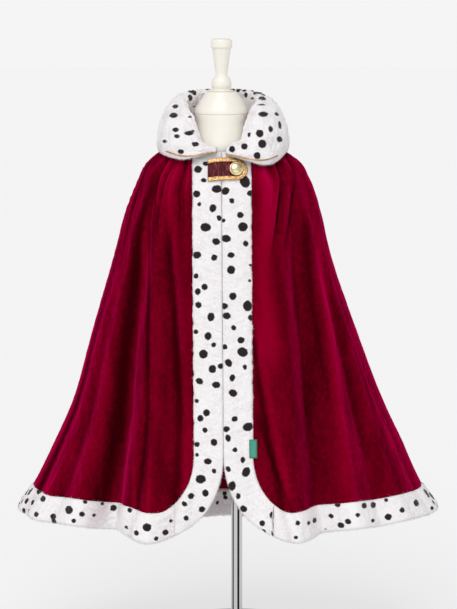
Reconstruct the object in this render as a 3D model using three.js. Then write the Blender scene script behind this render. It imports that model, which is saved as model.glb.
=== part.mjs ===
// King costume cape on a dress form stand, in millimetres, +Z up.
// The origin is the middle of the base's underside, on the pole's axis. The front faces -Y,
// and left and right are those of someone looking at the front.
// The cape hangs open below the form: its walls are thin, and the neck, the front below the
// closed trims and the hem are open.
import * as THREE from 'three';

// Places
const NECK_X = -30; // the neck's axis stands a little left of the pole
const CENTRE_DRIFT = 5; // the cape's middle moves right by this much from neck to hem

// Cloth
const VELVET_WALL = 2;
const PLUSH_WALL = 8;
const COLLAR_WALL = 7;
const TRIM_WIDTH = 57;
const SEAM_GAP = 0.3;
const TRIM_GAP = 0.5; // between velvet and plush
const FRONT_GAP = 1; // between the two front trims
const FRONT_LENGTH = 757; // along the cloth from neckline to hem
const SIDE_LENGTH = 841;
const BACK_LENGTH = 828;
const CORNER_ACROSS = 126; // the rounded lower front corner, across and up
const CORNER_UP = 160;
const CORNER_EDGE_END = Math.PI * 0.419; // how far round the corner the front trim goes
const CORNER_SEAM_END = Math.PI * 0.35;
const SIDE_SEAM_HEM = 76; // degrees from the front
const SIDE_SEAM_NECK = 95;

// Closure tab, button and label
const TAB_LEFT = -26;
const TAB_STRAIGHT = 30; // where the pointed end begins
const TAB_TIP = 49;
const TAB_HALF_HEIGHT = 22.5;
const TAB_UP = 719; // height of its middle above the hem, along the cloth
const TAB_SLOPE = 0.06;
const TAB_WALL = 2;
const TAB_GAP = 0.45;
const BRAID_WIDTH = 8.5;
const BRAID_WALL = 1.6;
const BUTTON_RADIUS = 13.5;
const BUTTON_HEIGHT = 7;
const BUTTON_ACROSS = 27;
const LABEL_WIDTH = 15;
const LABEL_HEIGHT = 37;
const LABEL_UP = 156;
const LABEL_ACROSS = 49.5;
const LABEL_OUT = [4.3, 3.2, 2.1]; // from the cloth's middle, over the trim's edge to the velvet
const LABEL_WALL = 1;
const PIPING_RADIUS = 1.3;
const PIPING_GAP = 0.8;
const BRAID_GAP = 0.35;

// Stand
const BASE_RADIUS = 150;
const BASE_THICK = 9;
const POLE_RADIUS = 11;
const FORM_BOTTOM = 700;
const NECK_TOP = 1037;
const NECK_RADIUS = 54;
const FORM_CLEARANCE = 1.5; // between the form and the cloth that rests on its shoulders
const FORM_CHEST_INSET = 6.5; // the chest stays behind the plush trims

const COLOURS = {
  velvet: [0x8c0022, 0.75, 0],
  plush: [0xeeebe8, 0.95, 0],
  gold: [0xc9a24a, 0.35, 0.9],
  satin: [0x5a1018, 0.4, 0],
  teal: [0x1f7a68, 0.8, 0],
  cream: [0xe9e3d3, 0.35, 0],
  chrome: [0xc4c4c6, 0.12, 1],
};

// The cape without its folds. Each row is a ring round the body at a level, which is the
// share of the cloth's length from neckline (0) to hem (1). The ring is an oval that
// reaches half to each side, front before and back behind the neck's axis, with its own
// height at the side, front and back. shift moves the sides to the right.
const CAPE_RINGS = [
  { level: 0, half: 66, shift: 0, sideZ: 1000, front: 75, frontZ: 966, back: 62, backZ: 1012 },
  { level: 0.041, half: 95.5, shift: 0.3, sideZ: 981, front: 89, frontZ: 938, back: 79.5, backZ: 983 },
  { level: 0.082, half: 121, shift: 1.6, sideZ: 960, front: 99, frontZ: 909, back: 90, backZ: 951 },
  { level: 0.126, half: 150, shift: 3.5, sideZ: 937, front: 109, frontZ: 878, back: 97, backZ: 916 },
  { level: 0.17, half: 167.5, shift: 4, sideZ: 904, front: 114.5, frontZ: 845, back: 102, backZ: 880 },
  { level: 0.247, half: 190, shift: 2, sideZ: 844, front: 123, frontZ: 788, back: 111, backZ: 817 },
  { level: 0.357, half: 213.5, shift: 0, sideZ: 755, front: 132, frontZ: 706, back: 122, backZ: 726 },
  { level: 0.536, half: 260.5, shift: 3, sideZ: 609, front: 148, frontZ: 572, back: 139, backZ: 579 },
  { level: 0.709, half: 306.5, shift: 9, sideZ: 469, front: 167, frontZ: 445, back: 152, backZ: 436 },
  { level: 0.819, half: 344.5, shift: 9.5, sideZ: 384, front: 179, frontZ: 365, back: 160, backZ: 345 },
  { level: 0.935, half: 387, shift: 7, sideZ: 295, front: 193, frontZ: 280, back: 169, backZ: 250 },
  { level: 1, half: 417, shift: 8, sideZ: 252, front: 200, frontZ: 234, back: 175, backZ: 196 },
];

// The folds. Each row is one ridge, or one trough where the raise is negative. It runs from
// turn top to turn hem, in degrees round from the front, and bends by bow. spread is half its
// width and raise its height, both in millimetres, near the top and at the hem. It starts
// at the level from. lift raises the hem there.
const FOLDS = [
  { top: -30, hem: -11, bow: 1.5, spread: [8, 20], raise: [4, 5], from: 0.17, lift: 0 },
  { top: -37, hem: -16, bow: 1.4, spread: [8, 18], raise: [-4, -8], from: 0.2, lift: 0 },
  { top: -52, hem: -20.5, bow: 1.5, spread: [14, 42], raise: [6, 24], from: 0.06, lift: -17 },
  { top: -42, hem: -29, bow: 1, spread: [8, 14], raise: [0, 8], from: 0.5, lift: 0 },
  { top: -52, hem: -33.5, bow: 0.7, spread: [12, 33], raise: [-3, -58], from: 0.22, lift: 5 },
  { top: -62, hem: -44, bow: 1, spread: [14, 40], raise: [5, 22], from: 0.1, lift: 0 },
  { top: -68, hem: -74, bow: 1, spread: [6, 13], raise: [0, -7], from: 0.17, lift: 0 },
  { top: -76, hem: -62, bow: 1, spread: [12, 28], raise: [2, 8], from: 0.2, lift: -6 },
  { top: 22, hem: 14.5, bow: 1, spread: [8, 20], raise: [2, 9], from: 0.35, lift: 0 },
  { top: 42, hem: 19.5, bow: 1.5, spread: [16, 44], raise: [6, 24], from: 0.06, lift: -15 },
  { top: 50, hem: 28, bow: 1.3, spread: [10, 30], raise: [-3, -24], from: 0.22, lift: 3 },
  { top: 64, hem: 37, bow: 1, spread: [12, 32], raise: [4, 14], from: 0.1, lift: 0 },
  { top: 68, hem: 47, bow: 0.8, spread: [6, 18], raise: [-2, -12], from: 0.25, lift: 0 },
  { top: 76, hem: 57, bow: 1, spread: [14, 42], raise: [4, 12], from: 0.1, lift: 0 },
  { top: 70, hem: 75, bow: 1, spread: [6, 14], raise: [0, -6], from: 0.17, lift: 0 },
  { top: 106, hem: 105, bow: 1, spread: [12, 32], raise: [2, 13], from: 0.12, lift: -4 },
  { top: 118, hem: 117, bow: 1, spread: [12, 30], raise: [-2, -20], from: 0.25, lift: 4 },
  { top: 130, hem: 129, bow: 1, spread: [12, 36], raise: [5, 24], from: 0.08, lift: -5 },
  { top: 142, hem: 143, bow: 1, spread: [10, 28], raise: [-2, -16], from: 0.25, lift: 3 },
  { top: 152, hem: 154, bow: 1, spread: [12, 34], raise: [4, 18], from: 0.1, lift: -3 },
  { top: 164, hem: 166, bow: 1, spread: [10, 30], raise: [-2, -20], from: 0.22, lift: 4 },
  { top: 177, hem: 179, bow: 1, spread: [12, 36], raise: [5, 20], from: 0.08, lift: -3 },
  { top: 189, hem: 192, bow: 1, spread: [10, 30], raise: [-2, -18], from: 0.25, lift: 3 },
  { top: 201, hem: 204, bow: 1, spread: [12, 34], raise: [4, 24], from: 0.1, lift: -5 },
  { top: 214, hem: 217, bow: 1, spread: [10, 28], raise: [-2, -16], from: 0.25, lift: 3 },
  { top: 226, hem: 229, bow: 1, spread: [12, 36], raise: [5, 20], from: 0.08, lift: -4 },
  { top: 240, hem: 242, bow: 1, spread: [12, 30], raise: [-2, -20], from: 0.25, lift: 4 },
  { top: 254, hem: 255, bow: 1, spread: [12, 32], raise: [2, 11], from: 0.12, lift: -4 },
];

// Height of the small gathers at the neckline, which fade out down the cloth.
const GATHER_FADE = [
  { level: 0, raise: 0.5 },
  { level: 0.03, raise: 3.2 },
  { level: 0.06, raise: 4.6 },
  { level: 0.126, raise: 5 },
  { level: 0.22, raise: 3.2 },
  { level: 0.35, raise: 1 },
  { level: 0.5, raise: 0 },
  { level: 1, raise: 0 },
];
const FRONT_COLUMNS = 20; // four to a gather
const BACK_COLUMNS = 56;
const PANEL_ROWS = [0, 0.03, 0.06, 0.09, 0.12, 0.15, 0.19, 0.25, 0.33, 0.43, 0.54, 0.65, 0.76, 0.87, 0.94, 1];
const FIRST_HEM_COLUMN = 4; // the first of the front panel's columns past the corner's seam

// The collar stands on the neckline, rolls over and falls outwards. Each row gives the roll's
// crest and the fall's edge at a turn round the neck, and its share of the full thickness.
const COLLAR_TURNS = [
  { turn: -180, rollR: 70, rollZ: 1080, edgeR: 112, edgeZ: 1000, thick: 1 },
  { turn: -135, rollR: 75, rollZ: 1077, edgeR: 120, edgeZ: 990, thick: 1 },
  { turn: -100, rollR: 78, rollZ: 1068, edgeR: 124, edgeZ: 976, thick: 1 },
  { turn: -75, rollR: 76, rollZ: 1052, edgeR: 124, edgeZ: 963, thick: 1 },
  { turn: -57, rollR: 75, rollZ: 1031, edgeR: 121, edgeZ: 956, thick: 1 },
  { turn: -45, rollR: 76, rollZ: 1016, edgeR: 115, edgeZ: 953, thick: 1 },
  { turn: -33, rollR: 80, rollZ: 992, edgeR: 107, edgeZ: 957, thick: 0.9 },
  { turn: -18, rollR: 83, rollZ: 981, edgeR: 94, edgeZ: 964, thick: 0.7 },
  { turn: -7, rollR: 84, rollZ: 975, edgeR: 89, edgeZ: 966, thick: 0.45 },
  { turn: 7, rollR: 84, rollZ: 974, edgeR: 90, edgeZ: 962, thick: 0.45 },
  { turn: 18, rollR: 83, rollZ: 981, edgeR: 98, edgeZ: 958, thick: 0.7 },
  { turn: 33, rollR: 79, rollZ: 996, edgeR: 114, edgeZ: 949, thick: 0.9 },
  { turn: 45, rollR: 75, rollZ: 1022, edgeR: 121, edgeZ: 943, thick: 1 },
  { turn: 57, rollR: 73, rollZ: 1040, edgeR: 125, edgeZ: 945, thick: 1 },
  { turn: 75, rollR: 74, rollZ: 1058, edgeR: 128, edgeZ: 960, thick: 1 },
  { turn: 100, rollR: 77, rollZ: 1070, edgeR: 131, edgeZ: 975, thick: 1 },
  { turn: 135, rollR: 75, rollZ: 1077, edgeR: 123, edgeZ: 989, thick: 1 },
  { turn: 180, rollR: 70, rollZ: 1080, edgeR: 112, edgeZ: 1000, thick: 1 },
];
const COLLAR_TIP = 7; // degrees from the front
const COLLAR_COLUMNS = 40;
const COLLAR_LIFT = 2.2; // above the neckline, clear of the cape's top edge
const ROLL_RADIUS = 6;
const STAND_PART = 0.25; // of the way across, then the roll, then the fall
const ROLL_PART = 0.42;
// Rows across the collar, and the share of its half wall at each
const COLLAR_ROWS = [
  { across: 0, thick: 0.35 },
  { across: 0.06, thick: 0.8 },
  { across: 0.16, thick: 1 },
  { across: 0.25, thick: 1 },
  { across: 0.31, thick: 1 },
  { across: 0.365, thick: 1 },
  { across: 0.42, thick: 1 },
  { across: 0.52, thick: 1 },
  { across: 0.64, thick: 1 },
  { across: 0.76, thick: 1 },
  { across: 0.88, thick: 1 },
  { across: 0.95, thick: 0.85 },
  { across: 1, thick: 0.4 },
];

// Rows across a plush trim, and the share of its half wall at each
const HEM_ROWS = [0, 0.18, 0.82, 1];
const TRIM_ROWS = [
  { across: 0, thick: 0.4 },
  { across: 0.18, thick: 1 },
  { across: 0.38, thick: 1 },
  { across: 0.6, thick: 1 },
  { across: 0.82, thick: 1 },
  { across: 1, thick: 0.4 },
];

// The form below the shoulders, from its flat bottom up, as in the cape's rings.
const FORM_RINGS = [
  { half: 108, sideZ: 700, front: 76, frontZ: 700, back: 68, backZ: 700 },
  { half: 114, sideZ: 762, front: 85, frontZ: 752, back: 75, backZ: 756 },
  { half: 126, sideZ: 832, front: 96, frontZ: 796, back: 84, backZ: 812 },
  { half: 146, sideZ: 892, front: 103, frontZ: 842, back: 91, backZ: 868 },
];
const FORM_SHIFT = 4;
const SHOULDER_LEVELS = [0.126, 0.1, 0.075, 0.05, 0.025, 0.006];
const ROUND_NECK = { half: NECK_RADIUS, front: NECK_RADIUS, back: NECK_RADIUS };
const FORM_NECK_RINGS = [
  { half: 56, sideZ: 1009, front: 65, frontZ: 986, back: 55, backZ: 1018 },
  { half: 53, sideZ: 1022, front: 57, frontZ: 1012, back: 52, backZ: 1026 },
  { ...ROUND_NECK, sideZ: NECK_TOP, frontZ: NECK_TOP, backZ: NECK_TOP },
];
const FORM_COLUMNS = 32;

// Half profiles of the turned pieces, as radius and height
const NECK_CAP_PROFILE = [
  [0, 0], [53.6, 0], [NECK_RADIUS, 2], [52.8, 8], [50.5, 13], [47, 18], [44, 24], [37, 33], [30.5, 41],
  [29, 43], [0, 43],
];
const FINIAL_PROFILE = [
  [0, 0], [23, 0], [23.5, 1.5], [22.8, 3], [17, 4], [17, 6], [19, 9], [19.8, 14], [19.2, 20], [16.5, 26],
  [12.6, 30], [11.8, 33], [13, 45], [15.6, 64], [18.6, 82], [19, 84.5], [20.6, 85.5], [20.8, 97], [19, 101],
  [15, 103], [0, 103.5],
];
const BASE_PROFILE = [
  [0, 0], [145, 0], [149, 2.5], [BASE_RADIUS, 5], [148.5, 7.5], [146, BASE_THICK], [0, BASE_THICK],
];

const radians = THREE.MathUtils.degToRad;
const degrees = THREE.MathUtils.radToDeg;
const part = new THREE.Group();

function addMesh(name, geometry, finish) {
  const [color, roughness, metalness] = COLOURS[finish];
  const material = new THREE.MeshStandardMaterial({ color, roughness, metalness });
  const mesh = new THREE.Mesh(geometry, material);
  mesh.name = name;
  part.add(mesh);
  return mesh;
}

// A column of a table at a place between its rows, on a smooth curve through them.
function readTable(rows, key, column, at) {
  let i = 0;
  while (i < rows.length - 2 && at > rows[i + 1][key]) {
    i += 1;
  }
  const rise = (a, b) => (rows[b][column] - rows[a][column]) / (rows[b][key] - rows[a][key]);
  const slope = (k) => {
    if (k === 0 || k === rows.length - 1) {
      return rise(Math.max(k - 1, 0), Math.min(k + 1, rows.length - 1));
    }
    return (rise(k - 1, k) + rise(k, k + 1)) / 2;
  };
  const span = rows[i + 1][key] - rows[i][key];
  const t = THREE.MathUtils.clamp((at - rows[i][key]) / span, 0, 1);
  const start = rows[i][column];
  const end = rows[i + 1][column];
  return (
    start * (1 + 2 * t) * (1 - t) ** 2 +
    slope(i) * span * t * (1 - t) ** 2 +
    end * t * t * (3 - 2 * t) -
    slope(i + 1) * span * t * t * (1 - t)
  );
}

function ringValue(column, level) {
  return readTable(CAPE_RINGS, 'level', column, level);
}

// A point of an oval ring at a turn from the front, in radians.
function ovalPoint(ring, turn, shift, drift) {
  const ahead = Math.cos(turn);
  const aside = Math.sin(turn);
  const reach = ahead > 0 ? ring.front : ring.back;
  const middleZ = ahead > 0 ? ring.frontZ : ring.backZ;
  return new THREE.Vector3(
    NECK_X + ring.half * aside + shift * aside * aside + drift,
    -reach * ahead,
    ring.sideZ + (middleZ - ring.sideZ) * ahead * ahead,
  );
}

function restPoint(turn, level) {
  const ring = {};
  for (const column of ['half', 'shift', 'sideZ', 'front', 'frontZ', 'back', 'backZ']) {
    ring[column] = ringValue(column, level);
  }
  return ovalPoint(ring, turn, ring.shift, CENTRE_DRIFT * level);
}

// The outward normal of a surface whose first number runs round to the right of the front,
// and whose second runs down the cloth.
function normalOf(surface, u, v, stepU, stepV) {
  const alongU = surface(u + stepU, v).sub(surface(u - stepU, v));
  const alongV = surface(u, v + stepV).sub(surface(u, v - stepV));
  return alongV.cross(alongU).normalize();
}

function foldAt(turn, level) {
  let raise = 0;
  let lift = 0;
  const reach = Math.cos(turn) > 0 ? ringValue('front', level) : ringValue('back', level);
  const speed = Math.hypot(ringValue('half', level) * Math.cos(turn), reach * Math.sin(turn));
  for (const fold of FOLDS) {
    const crest = radians(fold.hem + (fold.top - fold.hem) * (1 - level) ** fold.bow);
    const away = Math.atan2(Math.sin(turn - crest), Math.cos(turn - crest)) * speed;
    const grown = level ** 1.5;
    const spread = THREE.MathUtils.lerp(fold.spread[0], fold.spread[1], grown);
    const bump = Math.exp(-((away / spread) ** 2));
    const started = THREE.MathUtils.smoothstep(level, fold.from, fold.from + 0.18);
    raise += THREE.MathUtils.lerp(fold.raise[0], fold.raise[1], grown) * bump * started;
    lift += fold.lift * bump * level ** 4;
  }
  return { raise, lift };
}

// The middle of the cape's cloth, with its folds.
function capePoint(turn, level) {
  const held = THREE.MathUtils.clamp(level, 0, 1);
  const fold = foldAt(turn, held);
  const normal = normalOf(restPoint, turn, THREE.MathUtils.clamp(held, 0.002, 0.998), 0.002, 0.002);
  const point = restPoint(turn, held).addScaledVector(normal, fold.raise);
  point.z += fold.lift;
  return point;
}

// A point beside the cape's cloth, moved out from its middle.
function capeAt(turn, level, out) {
  const inside = THREE.MathUtils.clamp(level, 0.003, 0.997);
  const normal = normalOf(capePoint, turn, inside, 0.004, 0.003);
  return capePoint(turn, level).addScaledVector(normal, out);
}

function clothLength(turn) {
  const ahead = Math.cos(turn);
  const middle = ahead > 0 ? FRONT_LENGTH : BACK_LENGTH;
  return SIDE_LENGTH + (middle - SIDE_LENGTH) * ahead * ahead;
}

function turnAcross(across, level) {
  return Math.asin(across / ringValue('half', level));
}

// The turn and level of a place on the front, given across from the middle and up from the hem.
function placeOnFront(across, up) {
  let turn = 0;
  let level = 0;
  for (let pass = 0; pass < 6; pass += 1) {
    level = 1 - up / clothLength(turn);
    turn = turnAcross(across, level);
  }
  return [turn, level];
}

// A closed wall from two grids of points, rows by columns: the outer face and the inner face.
// Rows run down the cloth and columns run to the right of the front.
function wallGeometry(outer, inner) {
  const rows = outer.length;
  const columns = outer[0].length;
  const vertices = [...outer.flat(), ...inner.flat()];
  const positions = new Float32Array(vertices.flatMap((point) => [point.x, point.y, point.z]));
  const out = (i, j) => i * columns + j;
  const into = (i, j) => rows * columns + i * columns + j;
  const index = [];
  const quad = (a, b, c, d) => index.push(a, b, c, a, c, d);
  for (let i = 0; i < rows - 1; i += 1) {
    for (let j = 0; j < columns - 1; j += 1) {
      quad(out(i, j), out(i + 1, j), out(i + 1, j + 1), out(i, j + 1));
      quad(into(i, j), into(i, j + 1), into(i + 1, j + 1), into(i + 1, j));
    }
  }
  for (let j = 0; j < columns - 1; j += 1) {
    quad(out(0, j), out(0, j + 1), into(0, j + 1), into(0, j));
    quad(out(rows - 1, j), into(rows - 1, j), into(rows - 1, j + 1), out(rows - 1, j + 1));
  }
  for (let i = 0; i < rows - 1; i += 1) {
    quad(out(i, 0), into(i, 0), into(i + 1, 0), out(i + 1, 0));
    quad(out(i, columns - 1), out(i + 1, columns - 1), into(i + 1, columns - 1), into(i, columns - 1));
  }
  const geometry = new THREE.BufferGeometry();
  geometry.setAttribute('position', new THREE.BufferAttribute(positions, 3));
  geometry.setIndex(index);
  return geometry;
}

// A wall over places on the cape: each place holds its turn, its level and how far the middle
// of the wall and its half thickness lie from the cloth's middle.
function capeWall(places) {
  const outer = places.map((row) => row.map((p) => capeAt(p.turn, p.level, p.out + p.half)));
  const inner = places.map((row) => row.map((p) => capeAt(p.turn, p.level, p.out - p.half)));
  return wallGeometry(outer, inner);
}

function sideSeam(level) {
  return radians(SIDE_SEAM_HEM + (SIDE_SEAM_NECK - SIDE_SEAM_HEM) * (1 - level) ** 3);
}

// Height above the hem of a line that runs a width inside the cape's edge, at a place across
// the front.
function lineUp(across, width) {
  if (across >= CORNER_ACROSS) {
    return width;
  }
  const away = Math.min((CORNER_ACROSS - across) / (CORNER_ACROSS - width), 1);
  return CORNER_UP - (CORNER_UP - width) * Math.sqrt(1 - away * away);
}

// The level where a column of cloth meets that line.
function levelOfLine(turnOfLevel, width) {
  let level = 0.9;
  for (let pass = 0; pass < 30; pass += 1) {
    const turn = turnOfLevel(level);
    const ahead = Math.cos(turn) > 0;
    const across = ahead ? Math.abs(Math.sin(turn)) * ringValue('half', level) : CORNER_ACROSS;
    const next = 1 - lineUp(across, width) / clothLength(turn);
    level = (level + next) / 2;
  }
  return level;
}

function gatherRaise(phase, level) {
  return readTable(GATHER_FADE, 'level', 'raise', level) * (0.5 - 0.5 * Math.cos(2 * Math.PI * phase));
}

function velvetPanel(columns, turnOfColumn) {
  const gathers = columns / 4;
  const bottoms = [];
  for (let j = 0; j <= columns; j += 1) {
    bottoms.push(levelOfLine((level) => turnOfColumn(j / columns, level), TRIM_WIDTH + TRIM_GAP));
  }
  const places = PANEL_ROWS.map((row) => {
    const line = [];
    for (let j = 0; j <= columns; j += 1) {
      const level = row * bottoms[j];
      const turn = turnOfColumn(j / columns, level);
      line.push({ turn, level, out: gatherRaise((j / columns) * gathers, level), half: VELVET_WALL / 2 });
    }
    return line;
  });
  return capeWall(places);
}

// The share of the turn that half a seam gap takes up at a level.
function halfGapTurn(turn, level) {
  const step = 0.001;
  const speed = restPoint(turn + step, level).distanceTo(restPoint(turn - step, level)) / (2 * step);
  return (SEAM_GAP / 2) / speed;
}

function frontPanelTurn(side, share, level) {
  const trim = turnAcross(TRIM_WIDTH + TRIM_GAP, level);
  const seam = sideSeam(level) - halfGapTurn(side * sideSeam(level), level);
  return side * (trim + (seam - trim) * share ** 1.5);
}

function backPanelTurn(share, level) {
  const start = sideSeam(level) + halfGapTurn(sideSeam(level), level);
  return start + (2 * Math.PI - 2 * start) * share;
}

// A front trim: straight down the front edge, then round the lower corner to its seam.
function frontTrim(side) {
  const cornerRows = 10;
  const bottom = levelOfLine((level) => frontPanelTurn(1, 0, level), TRIM_WIDTH + TRIM_GAP);
  const lines = [];
  for (const row of PANEL_ROWS) {
    const level = row * bottom;
    const taper = THREE.MathUtils.smoothstep(level, -0.012, 0.045);
    lines.push(TRIM_ROWS.map((column) => {
      const across = THREE.MathUtils.lerp(FRONT_GAP / 2, TRIM_WIDTH, column.across);
      const half = (column.thick * taper * PLUSH_WALL) / 2;
      return { turn: turnAcross(across, level), level, out: 0, half };
    }));
  }
  for (let i = 2; i <= cornerRows; i += 1) {
    const share = i / cornerRows;
    lines.push(TRIM_ROWS.map((row) => {
      const bend = THREE.MathUtils.lerp(CORNER_EDGE_END, CORNER_SEAM_END, row.across) * share;
      const inset = THREE.MathUtils.lerp(FRONT_GAP / 2, TRIM_WIDTH, row.across);
      const across = CORNER_ACROSS - (CORNER_ACROSS - inset) * Math.cos(bend);
      const drop = (CORNER_UP - row.across * TRIM_WIDTH) * Math.sin(bend);
      const [turn, level] = placeOnFront(across, CORNER_UP - drop);
      return { turn, level, out: 0, half: (row.thick * PLUSH_WALL) / 2 };
    }));
  }
  // The grid's columns run to the right of the front on both sides.
  const places = lines.map((line) => {
    const signed = line.map((p) => ({ ...p, turn: side * p.turn }));
    return side > 0 ? signed : signed.reverse();
  });
  return capeWall(places);
}

// The hem trim, from the right corner's seam round the back to the left corner's seam. Its
// columns are those of the velvet above it, so the two edges run side by side.
function hemTrim() {
  const startLow = CORNER_ACROSS - (CORNER_ACROSS - FRONT_GAP / 2) * Math.cos(CORNER_EDGE_END) + SEAM_GAP;
  const startHigh = CORNER_ACROSS - (CORNER_ACROSS - TRIM_WIDTH) * Math.cos(CORNER_SEAM_END) + SEAM_GAP;
  const right = [];
  for (let j = FIRST_HEM_COLUMN; j < FRONT_COLUMNS; j += 1) {
    right.push((level) => frontPanelTurn(1, j / FRONT_COLUMNS, level));
  }
  right.push(sideSeam);
  const left = right.map((turnOfLevel) => (level) => 2 * Math.PI - turnOfLevel(level)).reverse();
  const back = [];
  for (let j = 1; j < BACK_COLUMNS; j += 1) {
    back.push((level) => backPanelTurn(j / BACK_COLUMNS, level));
  }
  const rows = TRIM_ROWS.filter((row) => HEM_ROWS.includes(row.across)).reverse();
  const places = rows.map((row) => {
    const start = THREE.MathUtils.lerp(startLow, startHigh, row.across);
    const first = (level) => turnAcross(start, level);
    const last = (level) => 2 * Math.PI - turnAcross(start, level);
    return [first, ...right, ...back, ...left, last].map((turnOfLevel) => {
      const level = levelOfLine(turnOfLevel, row.across * TRIM_WIDTH);
      return { turn: turnOfLevel(level), level, out: 0, half: (row.thick * PLUSH_WALL) / 2 };
    });
  });
  return capeWall(places);
}

// The middle of the collar's cloth. across runs from the neckline over the roll to the edge.
function collarPoint(turn, across) {
  const at = degrees(turn);
  const read = (column) => readTable(COLLAR_TURNS, 'turn', column, at);
  const neck = restPoint(turn, 0);
  const neckR = Math.hypot(neck.x - NECK_X, neck.y);
  const aside = (neck.x - NECK_X) / neckR;
  const ahead = -neck.y / neckR;
  const neckZ = neck.z + COLLAR_LIFT;
  const rollR = read('rollR');
  const rollZ = read('rollZ');
  let radius = 0;
  let height = 0;
  if (across < STAND_PART) {
    const share = across / STAND_PART;
    radius = THREE.MathUtils.lerp(neckR, rollR - ROLL_RADIUS, share);
    height = THREE.MathUtils.lerp(neckZ, rollZ - ROLL_RADIUS, share);
  } else if (across < ROLL_PART) {
    const bend = ((across - STAND_PART) / (ROLL_PART - STAND_PART)) * (Math.PI / 2);
    radius = rollR - ROLL_RADIUS * Math.cos(bend);
    height = rollZ - ROLL_RADIUS + ROLL_RADIUS * Math.sin(bend);
  } else {
    const bend = ((across - ROLL_PART) / (1 - ROLL_PART)) * (Math.PI / 2);
    radius = rollR + (read('edgeR') - rollR) * Math.sin(bend);
    height = read('edgeZ') + (rollZ - read('edgeZ')) * Math.cos(bend);
  }
  return new THREE.Vector3(NECK_X + radius * aside, -radius * ahead, height);
}

function collarAt(turn, across, out) {
  const step = 0.004;
  const inside = THREE.MathUtils.clamp(across, step, 1 - step);
  return collarPoint(turn, across).addScaledVector(normalOf(collarPoint, turn, inside, 0.01, step), out);
}

function collarTurn(j) {
  const tip = radians(COLLAR_TIP);
  return tip + ((2 * Math.PI - 2 * tip) * j) / COLLAR_COLUMNS;
}

// Turns from 0 to a full circle, as the collar's table has them
function signedTurn(turn) {
  return turn > Math.PI ? turn - 2 * Math.PI : turn;
}

function collarWall(side) {
  return COLLAR_ROWS.map((row) => {
    const line = [];
    for (let j = 0; j <= COLLAR_COLUMNS; j += 1) {
      const turn = signedTurn(collarTurn(j));
      const share = readTable(COLLAR_TURNS, 'turn', 'thick', degrees(turn)) * row.thick;
      line.push(collarAt(turn, row.across, (side * share * COLLAR_WALL) / 2));
    }
    return line;
  });
}

// Piping on the outside of the collar, just above its edge, from tip to tip.
function collarPiping() {
  const across = 0.955;
  const points = [];
  for (let j = 0; j <= COLLAR_COLUMNS; j += 1) {
    const turn = signedTurn(collarTurn(j));
    const share = readTable(COLLAR_TURNS, 'turn', 'thick', degrees(turn));
    points.push(collarAt(turn, across, (share * 0.8 * COLLAR_WALL) / 2 + PIPING_RADIUS + PIPING_GAP));
  }
  const path = new THREE.CatmullRomCurve3(points);
  const section = new THREE.Shape();
  for (let k = 0; k < 6; k += 1) {
    const angle = (k * Math.PI) / 3;
    const place = [PIPING_RADIUS * Math.cos(angle), PIPING_RADIUS * Math.sin(angle)];
    if (k === 0) {
      section.moveTo(...place);
    } else {
      section.lineTo(...place);
    }
  }
  section.closePath();
  return new THREE.ExtrudeGeometry(section, { steps: 56, extrudePath: path, curveSegments: 1 });
}

// A place on the tab, given across from the front's middle and above the tab's own middle.
function tabPlace(across, above) {
  return placeOnFront(across, TAB_UP + above + TAB_SLOPE * (across - TAB_LEFT));
}

// Half the tab's height at a place across, less an inset.
function tabHalf(across, inset) {
  const tip = TAB_TIP - inset * 1.3;
  if (across <= TAB_STRAIGHT) {
    return TAB_HALF_HEIGHT - inset;
  }
  const share = THREE.MathUtils.clamp((across - TAB_STRAIGHT) / (tip - TAB_STRAIGHT), 0, 1);
  return (TAB_HALF_HEIGHT - inset) * Math.cos((share * Math.PI) / 2) ** 1.2;
}

const TAB_OUT = PLUSH_WALL / 2 + TAB_GAP + TAB_WALL / 2; // from the middle of the cape's cloth

function closureTab() {
  const columns = 16;
  const rows = [-1, -0.5, 0, 0.5, 1];
  const places = rows.map((row) => {
    const line = [];
    for (let j = 0; j <= columns; j += 1) {
      const across = THREE.MathUtils.lerp(TAB_LEFT, TAB_TIP - 2, (j / columns) ** 0.8);
      const [turn, level] = tabPlace(across, -row * tabHalf(across, 0.4));
      line.push({ turn, level, out: TAB_OUT, half: TAB_WALL / 2 });
    }
    return line;
  });
  return capeWall(places);
}

// The braid lies on the tab: along its top edge, round the pointed end and back below.
function tabBraid() {
  const steps = 15;
  const out = TAB_OUT + TAB_WALL / 2 + BRAID_GAP + BRAID_WALL / 2;
  const rim = (inset) => {
    const tip = TAB_TIP - inset * 1.3;
    const top = [];
    for (let k = 0; k <= steps; k += 1) {
      const share = k / steps;
      const straight = Math.min(share / 0.5, 1);
      const bend = Math.max((share - 0.5) / 0.5, 0);
      const across = bend > 0
        ? TAB_STRAIGHT + (tip - TAB_STRAIGHT) * Math.sin((bend * Math.PI) / 2)
        : THREE.MathUtils.lerp(TAB_LEFT, TAB_STRAIGHT, straight);
      const height = (TAB_HALF_HEIGHT - inset) * (bend > 0 ? Math.cos((bend * Math.PI) / 2) ** 1.2 : 1);
      top.push([across, height]);
    }
    const bottom = top.slice(0, -1).reverse().map(([across, height]) => [across, -height]);
    return [...top, ...bottom];
  };
  const places = [0, 0.5, 1].map((share) => rim(share * BRAID_WIDTH).map(([across, height]) => {
    const [turn, level] = tabPlace(across, height);
    return { turn, level, out, half: BRAID_WALL / 2 };
  }));
  return capeWall(places);
}

function buttonProfile() {
  const points = [[0, 0], [BUTTON_RADIUS - 1.5, 0], [BUTTON_RADIUS, 1.2], [BUTTON_RADIUS - 0.4, 2.4]];
  const domeRadius = BUTTON_RADIUS - 2;
  points.push([domeRadius, 2.6]);
  for (let k = 1; k <= 5; k += 1) {
    const bend = (k * Math.PI) / 10;
    points.push([domeRadius * Math.cos(bend), 2.6 + (BUTTON_HEIGHT - 2.6) * Math.sin(bend)]);
  }
  points[points.length - 1][0] = 0;
  return points;
}

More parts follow.
